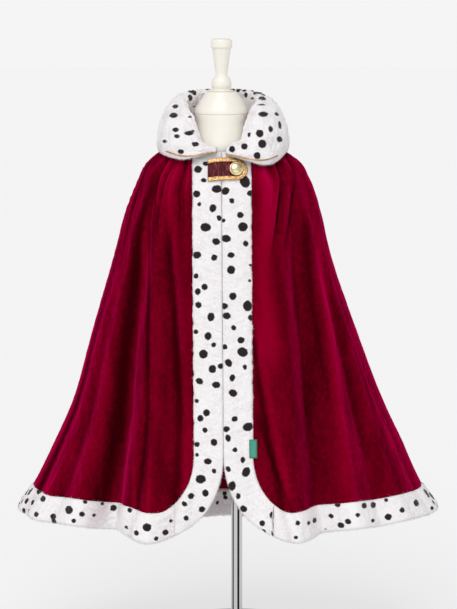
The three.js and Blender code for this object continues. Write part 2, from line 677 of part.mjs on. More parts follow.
function lathe(profile, segments) {
  const points = profile.map(([radius, height]) => new THREE.Vector2(radius, height));
  return new THREE.LatheGeometry(points, segments);
}

function addTurned(name, profile, segments, finish, x, z) {
  const mesh = addMesh(name, lathe(profile, segments), finish);
  mesh.rotation.x = Math.PI / 2;
  mesh.position.set(x, 0, z);
  return mesh;
}

function addButton() {
  const mesh = addMesh('button', lathe(buttonProfile(), 24), 'gold');
  const [turn, level] = tabPlace(BUTTON_ACROSS, 0);
  const seat = TAB_OUT + TAB_WALL / 2 + BRAID_GAP + BRAID_WALL + SEAM_GAP;
  const foot = capeAt(turn, level, seat);
  const away = capeAt(turn, level, seat + 1).sub(foot).normalize();
  mesh.quaternion.setFromUnitVectors(new THREE.Vector3(0, 1, 0), away);
  mesh.position.copy(foot);
}

function labelWall() {
  const places = [1, 0.5, 0].map((row) => LABEL_OUT.map((out, column) => {
    const across = LABEL_ACROSS + (column * LABEL_WIDTH) / 2;
    const [turn, level] = placeOnFront(across, LABEL_UP + row * LABEL_HEIGHT);
    return { turn, level, out, half: LABEL_WALL / 2 };
  }));
  return capeWall(places);
}

// The dress form: rings from its flat bottom over the shoulders to the neck, with both ends
// closed. Over the shoulders it follows the inside of the cape.
function dressForm() {
  const inset = VELVET_WALL / 2 + FORM_CLEARANCE;
  const rings = [];
  const ringOf = (pointAt) => {
    const points = [];
    for (let j = 0; j < FORM_COLUMNS; j += 1) {
      points.push(pointAt((2 * Math.PI * j) / FORM_COLUMNS));
    }
    return points;
  };
  for (const ring of FORM_RINGS) {
    rings.push(ringOf((turn) => ovalPoint(ring, turn, 0, FORM_SHIFT)));
  }
  for (const level of SHOULDER_LEVELS) {
    rings.push(ringOf((turn) => {
      const normal = normalOf(restPoint, turn, Math.max(level, 0.003), 0.002, 0.002);
      const chest = THREE.MathUtils.smoothstep(Math.cos(turn), 0.25, 0.5);
      return restPoint(turn, level).addScaledVector(normal, -inset - chest * FORM_CHEST_INSET);
    }));
  }
  for (const ring of FORM_NECK_RINGS) {
    rings.push(ringOf((turn) => ovalPoint(ring, turn, 0, 0)));
  }
  const points = rings.flat();
  const bottom = points.push(new THREE.Vector3(NECK_X + FORM_SHIFT, 0, FORM_BOTTOM)) - 1;
  const top = points.push(new THREE.Vector3(NECK_X, 0, NECK_TOP)) - 1;
  const last = (rings.length - 1) * FORM_COLUMNS;
  const index = [];
  for (let j = 0; j < FORM_COLUMNS; j += 1) {
    const next = (j + 1) % FORM_COLUMNS;
    index.push(bottom, next, j);
    index.push(top, last + j, last + next);
    for (let i = 0; i < rings.length - 1; i += 1) {
      const low = i * FORM_COLUMNS;
      const high = low + FORM_COLUMNS;
      index.push(low + j, low + next, high + next, low + j, high + next, high + j);
    }
  }
  const geometry = new THREE.BufferGeometry();
  const positions = new Float32Array(points.flatMap((point) => [point.x, point.y, point.z]));
  geometry.setAttribute('position', new THREE.BufferAttribute(positions, 3));
  geometry.setIndex(index);
  return geometry;
}

// Stand
addTurned('base', BASE_PROFILE, 36, 'chrome', 0, 0);
const poleLength = FORM_BOTTOM - BASE_THICK - 2 * SEAM_GAP;
const poleProfile = [[0, 0], [POLE_RADIUS, 0], [POLE_RADIUS, poleLength], [0, poleLength]];
addTurned('pole', poleProfile, 20, 'chrome', 0, BASE_THICK + SEAM_GAP);
addMesh('dress_form', dressForm(), 'cream');
addTurned('neck_cap', NECK_CAP_PROFILE, 28, 'cream', NECK_X, NECK_TOP + SEAM_GAP);
const capHeight = NECK_CAP_PROFILE[NECK_CAP_PROFILE.length - 1][1];
addTurned('finial', FINIAL_PROFILE, 20, 'cream', NECK_X, NECK_TOP + capHeight + 2 * SEAM_GAP);

// Cape
const frontRightTurn = (share, level) => frontPanelTurn(1, share, level);
const frontLeftTurn = (share, level) => frontPanelTurn(-1, 1 - share, level);
addMesh('cape_front_right', velvetPanel(FRONT_COLUMNS, frontRightTurn), 'velvet');
addMesh('cape_front_left', velvetPanel(FRONT_COLUMNS, frontLeftTurn), 'velvet');
addMesh('cape_back', velvetPanel(BACK_COLUMNS, backPanelTurn), 'velvet');
addMesh('front_trim_left', frontTrim(-1), 'plush');
addMesh('front_trim_right', frontTrim(1), 'plush');
addMesh('hem_trim', hemTrim(), 'plush');
addMesh('collar', wallGeometry(collarWall(1), collarWall(-1)), 'plush');
addMesh('collar_piping', collarPiping(), 'gold');
addMesh('closure_tab', closureTab(), 'satin');
addMesh('tab_braid', tabBraid(), 'gold');
addButton();
addMesh('label', labelWall(), 'teal');

export default part;
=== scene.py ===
"""A king's costume cape on a child-size dress form: its cloth, its finishes and its stage."""
import math
import bpy
import numpy as np
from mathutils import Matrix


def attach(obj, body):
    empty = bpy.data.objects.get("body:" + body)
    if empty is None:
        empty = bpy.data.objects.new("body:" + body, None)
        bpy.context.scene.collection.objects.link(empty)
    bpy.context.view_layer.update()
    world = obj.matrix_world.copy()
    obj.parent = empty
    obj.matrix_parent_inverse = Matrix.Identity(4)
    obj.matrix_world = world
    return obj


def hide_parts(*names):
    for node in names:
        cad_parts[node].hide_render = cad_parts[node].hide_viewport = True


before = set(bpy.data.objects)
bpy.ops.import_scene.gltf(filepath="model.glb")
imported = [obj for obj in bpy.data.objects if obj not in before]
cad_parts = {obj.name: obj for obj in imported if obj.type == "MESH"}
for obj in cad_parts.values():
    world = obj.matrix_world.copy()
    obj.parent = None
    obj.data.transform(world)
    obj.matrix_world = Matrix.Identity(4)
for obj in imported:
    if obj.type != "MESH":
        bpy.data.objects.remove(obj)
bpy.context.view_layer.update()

bl_info = {
    "name": "King costume cape",
    "version": (1, 0, 0),
    "blender": (4, 5, 0),
    "location": "3D View > Sidebar > Cape",
    "description": "Velvet cape with spotted plush trim on a dress form",
    "category": "Object",
}

MM = 0.001
TURN = 2 * math.pi
# Sizes are in millimetres. The side seam's turns are in degrees from the front, angles written with
# pi or radians are in radians, and levels and parts are shares of the cloth and of the collar.
NECK_X = -30.0
CENTRE_DRIFT = 5.0
TRIM_GAP, FRONT_GAP, SEAM_GAP = 0.5, 1.0, 0.3
FRONT_LENGTH, SIDE_LENGTH, BACK_LENGTH = 757.0, 841.0, 828.0
CORNER_ACROSS, CORNER_UP = 126.0, 160.0
CORNER_EDGE_END, CORNER_SEAM_END = math.pi * 0.419, math.pi * 0.35
SIDE_SEAM_HEM, SIDE_SEAM_NECK = 76.0, 95.0
PLUSH_HALF, HEM_BAND_LEVEL = 4.0, 0.97
TAB_LEFT, TAB_STRAIGHT, TAB_TIP = -26.0, 30.0, 49.0
TAB_HALF_HEIGHT, TAB_UP, TAB_SLOPE, TAB_OUT = 22.5, 719.0, 0.06, 5.45
BUTTON_ACROSS = 27.0
LABEL_ACROSS, LABEL_UP, LABEL_WIDTH, LABEL_HEIGHT = 49.5, 156.0, 15.0, 37.0
FORM_BOTTOM, NECK_TOP, CAP_HEIGHT, BASE_HEIGHT = 700.0, 1037.0, 43.0, 9.0
COLLAR_LIFT, ROLL_RADIUS, STAND_PART, ROLL_PART = 2.2, 6.0, 0.25, 0.42
COLLAR_TIP, COLLAR_ACROSS = math.radians(7), 190
HAIR_LENGTH, COLLAR_HAIR_LENGTH, HAIR_APART = 2.6, 2.4, 0.5
FAR_FROM_SPOTS, SPOT_DEPTH, SPOT_REACH = 20.0, 12.0, 35.0
BAND_STEPS, COLLAR_STEPS = (0.01, 0.004), (0.02, 0.01)
FLOOR_HALF = 40000.0
# The camera's aim and distance are in metres, its focal length in picture pixels.
CAMERA_AIM, CAMERA_AWAY, CAMERA_UP = (-0.0163, 0.0, 0.66), 5.0, math.radians(7)
SENSOR, FOCAL_PIXELS, PICTURE_HEIGHT = 36, 2525, 609
CAMERA_LENS = SENSOR * FOCAL_PIXELS / PICTURE_HEIGHT


def table(columns, rows):
    """A short table as a dictionary of named columns."""
    return dict(zip(columns.split(), np.array(rows, float).T))


# The cape without folds: ovals round the neck's axis at shares of the cloth's length.
CAPE_RINGS = table("level half shift side_z front front_z back back_z", [
    (0, 66, 0, 1000, 75, 966, 62, 1012),
    (0.041, 95.5, 0.3, 981, 89, 938, 79.5, 983),
    (0.082, 121, 1.6, 960, 99, 909, 90, 951),
    (0.126, 150, 3.5, 937, 109, 878, 97, 916),
    (0.17, 167.5, 4, 904, 114.5, 845, 102, 880),
    (0.247, 190, 2, 844, 123, 788, 111, 817),
    (0.357, 213.5, 0, 755, 132, 706, 122, 726),
    (0.536, 260.5, 3, 609, 148, 572, 139, 579),
    (0.709, 306.5, 9, 469, 167, 445, 152, 436),
    (0.819, 344.5, 9.5, 384, 179, 365, 160, 345),
    (0.935, 387, 7, 295, 193, 280, 169, 250),
    (1, 417, 8, 252, 200, 234, 175, 196),
])

# The large folds, as in the solids, in degrees from the front and in millimetres.
FOLD_COLUMNS = "top hem bow spread_top spread_hem raise_top raise_hem start end lift"
FOLDS = table(FOLD_COLUMNS, [
    (-30, -11, 1.5, 8, 20, 4, 5, 0.17, 9, 0),
    (-37, -16, 1.4, 8, 18, -4, -8, 0.2, 9, 0),
    (-52, -20.5, 1.5, 14, 42, 6, 24, 0.06, 9, -17),
    (-42, -29, 1, 8, 14, 0, 8, 0.5, 9, 0),
    (-52, -33.5, 0.7, 12, 33, -3, -58, 0.22, 9, 5),
    (-62, -44, 1, 14, 40, 5, 22, 0.1, 9, 0),
    (-68, -74, 1, 6, 13, 0, -7, 0.17, 9, 0),
    (-76, -62, 1, 12, 28, 2, 8, 0.2, 9, -6),
    (22, 14.5, 1, 8, 20, 2, 9, 0.35, 9, 0),
    (42, 19.5, 1.5, 16, 44, 6, 24, 0.06, 9, -15),
    (50, 28, 1.3, 10, 30, -3, -24, 0.22, 9, 3),
    (64, 37, 1, 12, 32, 4, 14, 0.1, 9, 0),
    (68, 47, 0.8, 6, 18, -2, -12, 0.25, 9, 0),
    (76, 57, 1, 14, 42, 4, 12, 0.1, 9, 0),
    (70, 75, 1, 6, 14, 0, -6, 0.17, 9, 0),
    (106, 105, 1, 12, 32, 2, 13, 0.12, 9, -4),
    (118, 117, 1, 12, 30, -2, -20, 0.25, 9, 4),
    (130, 129, 1, 12, 36, 5, 24, 0.08, 9, -5),
    (142, 143, 1, 10, 28, -2, -16, 0.25, 9, 3),
    (152, 154, 1, 12, 34, 4, 18, 0.1, 9, -3),
    (164, 166, 1, 10, 30, -2, -20, 0.22, 9, 4),
    (177, 179, 1, 12, 36, 5, 20, 0.08, 9, -3),
    (189, 192, 1, 10, 30, -2, -18, 0.25, 9, 3),
    (201, 204, 1, 12, 34, 4, 24, 0.1, 9, -5),
    (214, 217, 1, 10, 28, -2, -16, 0.25, 9, 3),
    (226, 229, 1, 12, 36, 5, 20, 0.08, 9, -4),
    (240, 242, 1, 12, 30, -2, -20, 0.25, 9, 4),
    (254, 255, 1, 12, 32, 2, 11, 0.12, 9, -4),
])

# Finer creases of the velvet, laid one by one, which the solids leave out. Tone is partly how the pile lies
# and partly painted shade and painted highlight: darker in a trough, where shade falls, lighter on a ridge.
CREASES = table("top hem bow spread_top spread_hem raise_top raise_hem start end tone", [
    (-60, -38.5, 1, 8, 12.5, -2, -4, 0.1, 9, -0.95),
    (-61, -31, 1.4, 5, 10, 1.5, 2.5, 0.12, 9, 0.25),
    (-65, -25.5, 2.2, 4, 8, -2, -3, 0.1, 9, -0.8),
    (-57, -22.5, 2, 10, 18, 1, 2, 0.12, 9, 0.15),
    (-68, -46, 1.2, 8, 22, 1, 1, 0.4, 9, 0.3),
    (-60, -30, 6, 13, 14, 1, 1, -0.05, 0.34, 0.55),
    (-54.8, -14.3, 2.6, 7, 13, -2.5, -4, 0.1, 9, -0.65),
    (-44.3, -11.5, 2.4, 7, 11, 1.5, 3, 0.1, 9, 0.45),
    (-75.5, -77, 1, 6, 9, -2, -3, 0.15, 9, -0.8),
    (-74, -63, 2, 8, 16, 1, 2, 0.15, 9, 0.1),
    (-74, -54, 1.4, 6, 10, -1, -2.5, 0.45, 9, -0.2),
    (-60, -36, 6, 3.4, 8, -6, -3, -0.05, 0.3, -1.2),
    (-66, -41, 6, 4, 9, 3, 1, -0.05, 0.3, 0.6),
    (-50, -22, 7, 3.2, 7, -6, -3, -0.05, 0.26, -1.1),
    (-55, -29, 6.5, 4, 8, 3, 1, -0.05, 0.28, 0.6),
    (-44, -16, 7, 4, 8, 3, 1, -0.05, 0.24, 0.5),
    (-78, -35, 6, 4.5, 9, -4, -2, 0, 0.36, -0.8),
    (-88, -62, 4, 4, 8, -3, -2, 0, 0.4, -0.5),
    (50, 20, 6, 13, 20, 3, 1, -0.05, 0.62, 0.95),
    (52, 22, 6, 9, 10, 1, 0, -0.05, 0.28, 1.2),
    (86, 22, 7, 3.4, 8, -7, -3, 0, 0.3, -1.5),
    (80, 20, 7, 4, 8, 3, 1, 0, 0.32, 0.6),
    (127, 26, 7, 4, 8, -6, -3, 0, 0.32, -1),
    (107, 25, 7, 4, 9, 3, 1, 0, 0.3, 0.4),
    (67, 26, 1.3, 7, 24, -1.5, -3, 0.16, 9, -0.32),
    (67, 31, 1.3, 4, 7, -1, -1, 0.2, 0.6, -0.3),
    (10.5, 17.5, 1, 5, 8, -3, -4, 0.36, 9, -0.6),
    (13, 20, 0.9, 7, 12, 2, 3, 0.34, 9, 0.6),
    (-6.5, 21.5, 1, 5, 6, -3, -3, 0.62, 9, -0.5),
    (86, 38.5, 1.6, 8, 16, 2, 4, 0.22, 9, 0.65),
    (78, 47, 1, 6, 12, -2, -3, 0.3, 0.85, -0.4),
    (60, 36, 1.2, 5, 12, -1, -2, 0.35, 0.8, -0.3),
    (52, 28, 1.4, 5, 9, -1.5, -2.5, 0.2, 0.8, -0.35),
    (84, 60, 1.2, 6, 10, -1, -2.5, 0.3, 9, -0.3),
    (112, 110, 1, 6, 12, -2.5, -5, 0.1, 9, -0.7),
    (124, 124, 1, 6, 12, 2, 4, 0.3, 0.9, 0.5),
    (136, 135, 1, 6, 12, -3, -5, 0.12, 9, -0.8),
    (147, 149, 1, 6, 10, 2, 4, 0.12, 0.75, 0.5),
    (158, 161, 1, 6, 12, -2.5, -4, 0.2, 9, -0.6),
    (171, 172, 1, 5, 12, 2, 4, 0.15, 0.85, 0.6),
    (-54, -30, 1, 3, 3.6, 0.8, 1.2, 0.68, 9, 0.7),
    (-60, -37, 1, 8, 15, 0, 0, 0.72, 9, 0.35),
    (-47, -67, 1, 3, 4.2, 0.8, 1.2, 0.76, 9, 0.6),
    (-60, -23.5, 1, 3, 3.4, 0.6, 1, 0.7, 9, 0.5),
    (-40, -20.2, 1, 3, 3.4, 0.6, 1, 0.7, 9, 0.55),
    (184, 185, 1, 6, 12, -3, -4, 0.1, 9, -0.8),
    (195, 199, 1, 6, 10, 2, 4, 0.3, 9, 0.5),
    (207, 210, 1, 5, 12, -2.5, -5, 0.15, 0.8, -0.7),
    (220, 223, 1, 6, 12, 2, 4, 0.2, 9, 0.5),
    (233, 236, 1, 6, 12, -3, -4, 0.12, 9, -0.8),
    (247, 248, 1, 5, 10, 2, 4, 0.3, 0.9, 0.4),
    (102, 118, 3, 3.5, 8, -5, -2, 0, 0.3, -1),
    (131, 126, 2, 3.5, 8, -5, -2, 0, 0.24, -1),
    (150, 154, 2, 3.5, 8, -5, -2, 0, 0.34, -1),
    (178, 176, 2, 3.5, 8, -5, -2, 0, 0.26, -1),
    (203, 198, 2, 3.5, 8, -5, -2, 0, 0.32, -1),
    (228, 232, 2, 3.5, 8, -5, -2, 0, 0.25, -1),
    (256, 244, 3, 3.5, 8, -5, -2, 0, 0.3, -1),
])

# How high the gathers stand at shares of the cloth's length.
GATHER_FADE = table("level raise", [
    (0, 0.4), (0.03, 2.4), (0.06, 3.4), (0.126, 3.4), (0.22, 2), (0.35, 0.6), (0.5, 0), (1, 0),
])

# The collar: its roll's crest, its fall's edge and its share of the full wall, round the neck.
COLLAR_TURNS = table("turn roll_r roll_z edge_r edge_z thick", [
    (-180, 70, 1080, 112, 1000, 1),
    (-135, 75, 1077, 120, 990, 1),
    (-100, 78, 1068, 124, 976, 1),
    (-75, 76, 1052, 124, 963, 1),
    (-57, 75, 1031, 121, 956, 1),
    (-45, 78, 1012, 115, 953, 1),
    (-33, 84.5, 986, 108, 957, 0.9),
    (-18, 84.5, 978, 94, 964, 0.7),
    (-7, 84, 975, 89, 966, 0.45),
    (7, 84, 974, 90, 962, 0.45),
    (18, 83, 981, 98, 958, 0.7),
    (33, 83, 990, 114, 949, 0.9),
    (45, 77.5, 1017, 121, 943, 1),
    (57, 73, 1040, 125, 945, 1),
    (75, 74, 1058, 128, 960, 1),
    (100, 77, 1070, 131, 975, 1),
    (135, 75, 1077, 123, 989, 1),
    (180, 70, 1080, 112, 1000, 1),
])

# The form's torso: ovals from its flat bottom to the neck.
FORM_RINGS = table("half front back side_z front_z back_z shift", [
    (60, 42, 38, 699, 699, 699, 4),
    (108, 76, 68, 700, 700, 700, 4),
    (114, 85, 75, 762, 752, 756, 4),
    (126, 96, 84, 832, 796, 812, 4),
    (144, 102, 90, 888, 840, 866, 4),
    (140, 100, 89, 935, 874, 914, 3),
    (112, 90, 82, 958, 904, 948, 1.6),
    (84, 80, 70, 979, 935, 980, 0.3),
    (62, 70, 58, 998, 962, 1008, 0),
    (56, 62, 54, 1009, 986, 1018, 0),
    (53, 56, 52, 1022, 1012, 1026, 0),
    (54, 54, 54, 1037, 1037, 1037, 0),
])

# Profiles of the turned pieces: radius and height.
NECK_CAP_PROFILE = [(53.4, 0), (54, 1), (54, 2.4), (52.8, 8), (50.5, 13), (47, 18), (44, 24), (37, 33),
                    (31.5, 40), (30.3, 42), (29, 43)]
FINIAL_PROFILE = [(22.6, 0), (23.4, 0.7), (23.4, 2.3), (22.6, 3), (17.4, 4), (17, 6), (19, 9), (19.8, 14),
                  (19.2, 20), (16.5, 26), (12.6, 30), (11.8, 33), (13, 45), (15.6, 64), (18.4, 82),
                  (18.8, 84.6), (20.5, 85.6), (20.9, 87), (20.9, 96), (20.2, 99.5), (18, 102), (15, 103.2)]
BASE_PROFILE = [(143, 0), (146, 0.5), (149, 2.5), (150, 5), (148.8, 7.4), (146, 8.7), (143, 9)]

# Spots of the plush, charted: across from the middle, up from the hem, and size.
SPOTS_LEFT = table("across up size", [
    (-45, 725, 15), (-30, 735, 10), (-34, 700, 10), (-48, 672, 14), (-43, 652, 8), (-17, 644, 14),
    (-9, 681, 17), (-5, 625, 10), (-31, 607, 18), (-11, 579, 14), (-48, 553, 15), (-15, 548, 12),
    (-50, 512, 10), (-34, 491, 12), (-47, 482, 12), (-46, 456, 12), (-22, 433, 15), (-51, 404, 9),
    (-28, 396, 14), (-17, 379, 9), (-37, 361, 17), (-20, 332, 15), (-4, 338, 11), (-45, 308, 13),
    (-13, 301, 14), (-51, 269, 8), (-32, 246, 13), (-44, 235, 12), (-35, 212, 10), (-18, 188, 13),
    (-51, 183, 10), (-51, 163, 7), (-30, 150, 13), (-18, 131, 9), (-44, 115, 18), (-35, 88, 13),
    (-64, 82, 12), (-42, 56, 12), (-75, 67, 10), (-73, 39, 10),
])
SPOTS_RIGHT = table("across up size", [
    (7, 677, 15), (44, 698, 22), (54, 674, 12), (19, 658, 10), (35, 631, 12), (3, 620, 8), (40, 608, 18),
    (8, 585, 16), (45, 575, 11), (17, 553, 12), (17, 524, 16), (54, 533, 6), (52, 503, 6), (20, 473, 14),
    (3, 454, 13), (48, 454, 19), (8, 435, 14), (54, 431, 11), (21, 412, 10), (35, 388, 13), (4, 375, 10),
    (38, 365, 19), (11, 344, 14), (42, 336, 9), (18, 315, 12), (19, 285, 15), (22, 234, 11), (6, 214, 12),
    (47, 218, 18), (9, 196, 12), (22, 173, 9), (37, 153, 10), (9, 135, 10), (43, 129, 17), (16, 102, 16),
    (28, 82, 10), (38, 57, 13), (93, 49, 13), (74, 29, 11), (76, 12, 10), (96, 12, 14), (115, 22, 8),
])
# On the hem: degrees from the front, up from the edge, and size.
SPOTS_HEM = table("turn up size", [
    (-64.4, 47, 13), (-63, 11, 11), (-54.7, 12, 13), (-52.6, 0, 12), (-47.5, 31, 17), (-43.2, 27, 11),
    (-44.2, 10, 9), (-44, 54, 9), (-40.4, 54, 8), (-40.7, 28, 8), (-38.7, 62, 11), (-37.2, 46, 13),
    (-27.7, 52, 10), (-27.3, 17, 8), (-23.6, 15, 11), (-21.1, 31, 17), (-16.3, 17, 12), (-15.1, 37, 7),
    (-18.4, 9, 9), (20.1, 38, 10), (19, 11, 8), (23.3, 32, 8), (25.6, 31, 11), (31.9, 33, 10),
    (28.9, 6, 4), (34.6, 56, 12), (33.3, 12, 13), (35.4, 18, 12), (38.5, 29, 9), (42.4, 47, 12),
    (47, 46, 13), (43.4, 13, 8), (53.1, 52, 8), (50.8, 16, 14), (56.1, 23, 11), (66.2, 30, 14),
    (78.4, 8, 8),
])
SPOTS_HEM_INSIDE = table("turn up size", [(180, 48, 9), (179.7, 39, 9), (182.3, 29, 9)])
# On the collar: degrees from the front, share across from neckline to edge, width and height.
SPOTS_COLLAR = table("turn share wide high", [
    (-115, 0.25, 12, 12), (-78, 0.54, 13, 8), (-69, 0.62, 17, 10), (-57, 0.72, 13, 8), (-53, 0.77, 12, 7),
    (-66, 0.88, 10, 6), (-44, 0.63, 17, 8), (-43, 0.54, 8, 4), (-34, 0.67, 13, 9), (-46, 0.91, 12, 9),
    (-125, 0.17, 4, 4), (-57, 0.44, 8, 4), (153, 0.35, 8, 8), (135, 0.26, 7, 11), (116, 0.24, 8, 4),
    (86, 0.45, 15, 8), (71, 0.49, 12, 3), (61, 0.58, 18, 10), (77, 0.68, 11, 7), (73, 0.77, 9, 17),
    (59, 0.74, 9, 13), (47, 0.69, 15, 15), (46, 0.8, 16, 16), (67, 0.86, 14, 11), (29, 0.69, 12, 12),
    (15, 0.73, 12, 12), (39, 0.9, 13, 13), (39, 0.56, 6, 10),
])


def size(name, words, value):
    """A length property in metres."""
    return bpy.props.FloatProperty(name=name, description=words, default=value, unit="LENGTH")


class CapeSizes(bpy.types.PropertyGroup):
    """The cape's sizes that a user would change"""
    velvet_wall: size("Velvet wall", "Thickness of the velvet", 0.002)
    plush_wall: size("Plush wall", "Thickness of the double plush", 0.008)
    collar_wall: size("Collar wall", "Thickness of the collar", 0.007)
    trim_width: size("Trim width", "Width of the plush bands", 0.057)
    crease_depth: bpy.props.FloatProperty(
        name="Crease depth", description="Share of the finer creases' depth", default=1.0,
        subtype="FACTOR")
    lump: size("Plush lumps", "Height of the plush's soft lumps", 0.0009)
    piping_radius: size("Piping radius", "Radius of the collar's piping", 0.0013)
    braid_width: size("Braid width", "Width of the tab's braid", 0.0085)
    button_radius: size("Button radius", "Radius of the button", 0.0135)


def colour(name, words, value):
    """A colour property in linear red, green and blue."""
    return bpy.props.FloatVectorProperty(
        name=name, description=words, default=value, subtype="COLOR", size=3, min=0, max=1)


class CapeColours(bpy.types.PropertyGroup):
    """The colours of the cape, its stand and the stage"""
    velvet: colour("Velvet", "The velvet seen straight on", (0.21, 0.0, 0.013))
    # The crushed velvet's colour also stands for painted shade in the creases' troughs.
    velvet_deep: colour("Velvet, crushed", "The velvet where its pile lies flat", (0.035, 0.0, 0.0022))
    # The sheen colour also serves as painted highlight on the creases' ridges, through the mesh's attribute.
    velvet_sheen: colour("Velvet sheen", "The pile where it slants away", (0.43, 0.0, 0.054))
    plush: colour("Plush", "The plush's white", (0.795, 0.78, 0.784))
    # The parted plush's colour also stands for painted shade in the hem's creases, on the linings and deep
    # in the collar.
    plush_shade: colour("Plush, parted", "The plush between its tufts", (0.64, 0.56, 0.58))
    spot: colour("Spots", "The plush's black spots", (0.015, 0.01, 0.012))
    gold: colour("Gold", "Braid and piping", (0.78, 0.47, 0.2))
    pearl: colour("Button", "The button's pale gold", (0.85, 0.72, 0.42))
    satin: colour("Satin", "The tab's burgundy", (0.07, 0.005, 0.008))
    teal: colour("Label", "The bare woven label", (0.01, 0.2, 0.14))
    cream: colour("Form", "The form's cream gloss", (0.825, 0.785, 0.705))
    metal: colour("Pole and base", "The polished stand", (0.62, 0.62, 0.63))
    floor: colour("Floor", "The pale floor", (0.275, 0.275, 0.275))


def read(rows, key, column, at):
    """A table's column at places between its rows, on a smooth curve that passes through them."""
    x, y = rows[key], rows[column]
    rise = np.diff(y) / np.diff(x)
    slope = np.concatenate([rise[:1], (rise[:-1] + rise[1:]) / 2, rise[-1:]])
    at = np.asarray(at, float)
    i = np.clip(np.searchsorted(x, at, side="left") - 1, 0, len(x) - 2)
    span = x[i + 1] - x[i]
    t = np.clip((at - x[i]) / span, 0, 1)
    ends = y[i] * (1 + 2 * t) * (1 - t) ** 2 + y[i + 1] * t * t * (3 - 2 * t)
    return ends + span * t * (1 - t) * (slope[i] * (1 - t) - slope[i + 1] * t)


def ease(x, low, high):
    """A soft step from 0 at low to 1 at high."""
    t = np.clip((np.asarray(x, float) - low) / (high - low), 0, 1)
    return t * t * (3 - 2 * t)


def mix(a, b, share):
    """The value a share of the way from one to another."""
    return a + (b - a) * share


def unit(vectors):
    """The directions of rows of vectors: each divided by its length."""
    return vectors / np.linalg.norm(vectors, axis=-1, keepdims=True)


def run_along(points):
    """How far along a row of points each one is: the sum of the steps before it."""
    return np.concatenate([[0], np.cumsum(np.linalg.norm(np.diff(points, axis=0), axis=1))])


def in_half_turn(turn):
    """The turn in degrees between -180 and 180."""
    return np.degrees(np.arctan2(np.sin(turn), np.cos(turn)))


def ripple(u, v, sizes, seed):
    """Soft uneven bumps about 1 high: crossed sine waves whose directions and phases a seed gives."""
    chance = np.random.default_rng(seed)
    total = 0
    for size in sizes:
        for angle, phase, stretch in chance.uniform(0, 1, (5, 3)):
            along = u * math.cos(TURN * angle) + v * math.sin(TURN * angle)
            total = total + np.sin(along * TURN / (size * (0.7 + 0.6 * stretch)) + TURN * phase)
    return total / math.sqrt(5 * len(sizes))


def oval(half, shift, side_z, front, front_z, back, back_z, turn, drift):
    """A point of an oval round the neck's axis: sine across, cosine ahead, and the height that
    blends from the side's to the front's or back's with the cosine's square."""
    ahead, aside = np.cos(turn), np.sin(turn)
    reach = np.where(ahead > 0, front, back)
    middle_z = np.where(ahead > 0, front_z, back_z)
    return np.stack([
        NECK_X + half * aside + shift * aside * aside + drift,
        -reach * ahead,
        side_z + (middle_z - side_z) * ahead * ahead,
    ], -1)


def ring(column, level):
    """A column of the cape's rings at a level."""
    return read(CAPE_RINGS, "level", column, level)


def rest_point(turn, level):
    """The cape's cloth without folds: the oval at that level."""
    turn, level = np.broadcast_arrays(np.asarray(turn, float), np.asarray(level, float))
    values = [ring(c, level) for c in "half shift side_z front front_z back back_z".split()]
    return oval(*values, turn, CENTRE_DRIFT * level)


def unit_normal(surface, u, v, step_u, step_v):
    """The surface's outward direction: the cross product of its slopes down and round."""
    round_it = surface(u + step_u, v) - surface(u - step_u, v)
    down_it = surface(u, v + step_v) - surface(u, v - step_v)
    return unit(np.cross(down_it, round_it))


def folds(rows, turn, level):
    """The cloth's height from a table of folds, and each fold's share at every point: a fold is a
    bell-shaped ridge whose crest moves and whose spread and height grow down the cloth."""
    height, shares = np.zeros_like(level), []
    reach = np.where(np.cos(turn) > 0, ring("front", level), ring("back", level))
    speed = np.hypot(ring("half", level) * np.cos(turn), reach * np.sin(turn))
    grown = level ** 1.5
    for k in range(len(rows["top"])):
        row = {name: column[k] for name, column in rows.items()}
        crest = np.radians(row["hem"] + (row["top"] - row["hem"]) * (1 - level) ** row["bow"])
        away = np.arctan2(np.sin(turn - crest), np.cos(turn - crest)) * speed
        spread = mix(row["spread_top"], row["spread_hem"], grown)
        shown = ease(level, row["start"], row["start"] + 0.18)
        shown = shown * (1 - ease(level, row["end"] - 0.15, row["end"]))
        share = np.exp(-((away / spread) ** 2)) * shown
        height += mix(row["raise_top"], row["raise_hem"], grown) * share
        shares.append(share)
    return height, shares


def nap(turn, level):
    """How the velvet's pile lies, with painted shade and painted highlight: each crease's tone over its own
    band, darker in a trough and lighter on a ridge.
    """
    shares = folds(CREASES, turn, level)[1]
    return sum(tone * share for tone, share in zip(CREASES["tone"], shares))


def cape_point(turn, level):
    """The middle of the cape's cloth with its folds and finer creases."""
    turn, level = np.broadcast_arrays(np.asarray(turn, float), np.clip(level, 0, 1))
    height, shares = folds(FOLDS, turn, level)
    drop = sum(lift * share for lift, share in zip(FOLDS["lift"], shares) if lift) * level ** 4
    fine = folds(CREASES, turn, level)[0]
    height = height + fine * bpy.context.scene.cape_sizes.crease_depth * velvet_share(turn, level)
    normal = unit_normal(rest_point, turn, np.clip(level, 0.002, 0.998), 0.002, 0.002)
    point = rest_point(turn, level) + normal * height[..., None]
    point[..., 2] += drop
    return point


def velvet_share(turn, level):
    """1 on the velvet, and 0 on the front trims, which lie flat."""
    across = np.abs(np.sin(turn)) * ring("half", level)
    return np.where(np.cos(turn) > 0, ease(across, 50, 75), 1.0)


def cape_beside(turn, level, out):
    """Points beside the cape's cloth, moved out along its own direction."""
    normal = unit_normal(cape_point, turn, np.clip(level, 0.003, 0.997), 0.004, 0.003)
    return cape_point(turn, level) + normal * np.asarray(out, float)[..., None]


def cloth_length(turn):
    """Length from neckline to hem: the side's, blended to the front's or back's with the cosine's
    square."""
    ahead = np.cos(turn)
    middle = np.where(ahead > 0, FRONT_LENGTH, BACK_LENGTH)
    return SIDE_LENGTH + (middle - SIDE_LENGTH) * ahead * ahead


def turn_across(across, level):
    """The turn at a distance across from the middle: its sine is the share of the half
    width there."""
    return np.arcsin(across / ring("half", level))


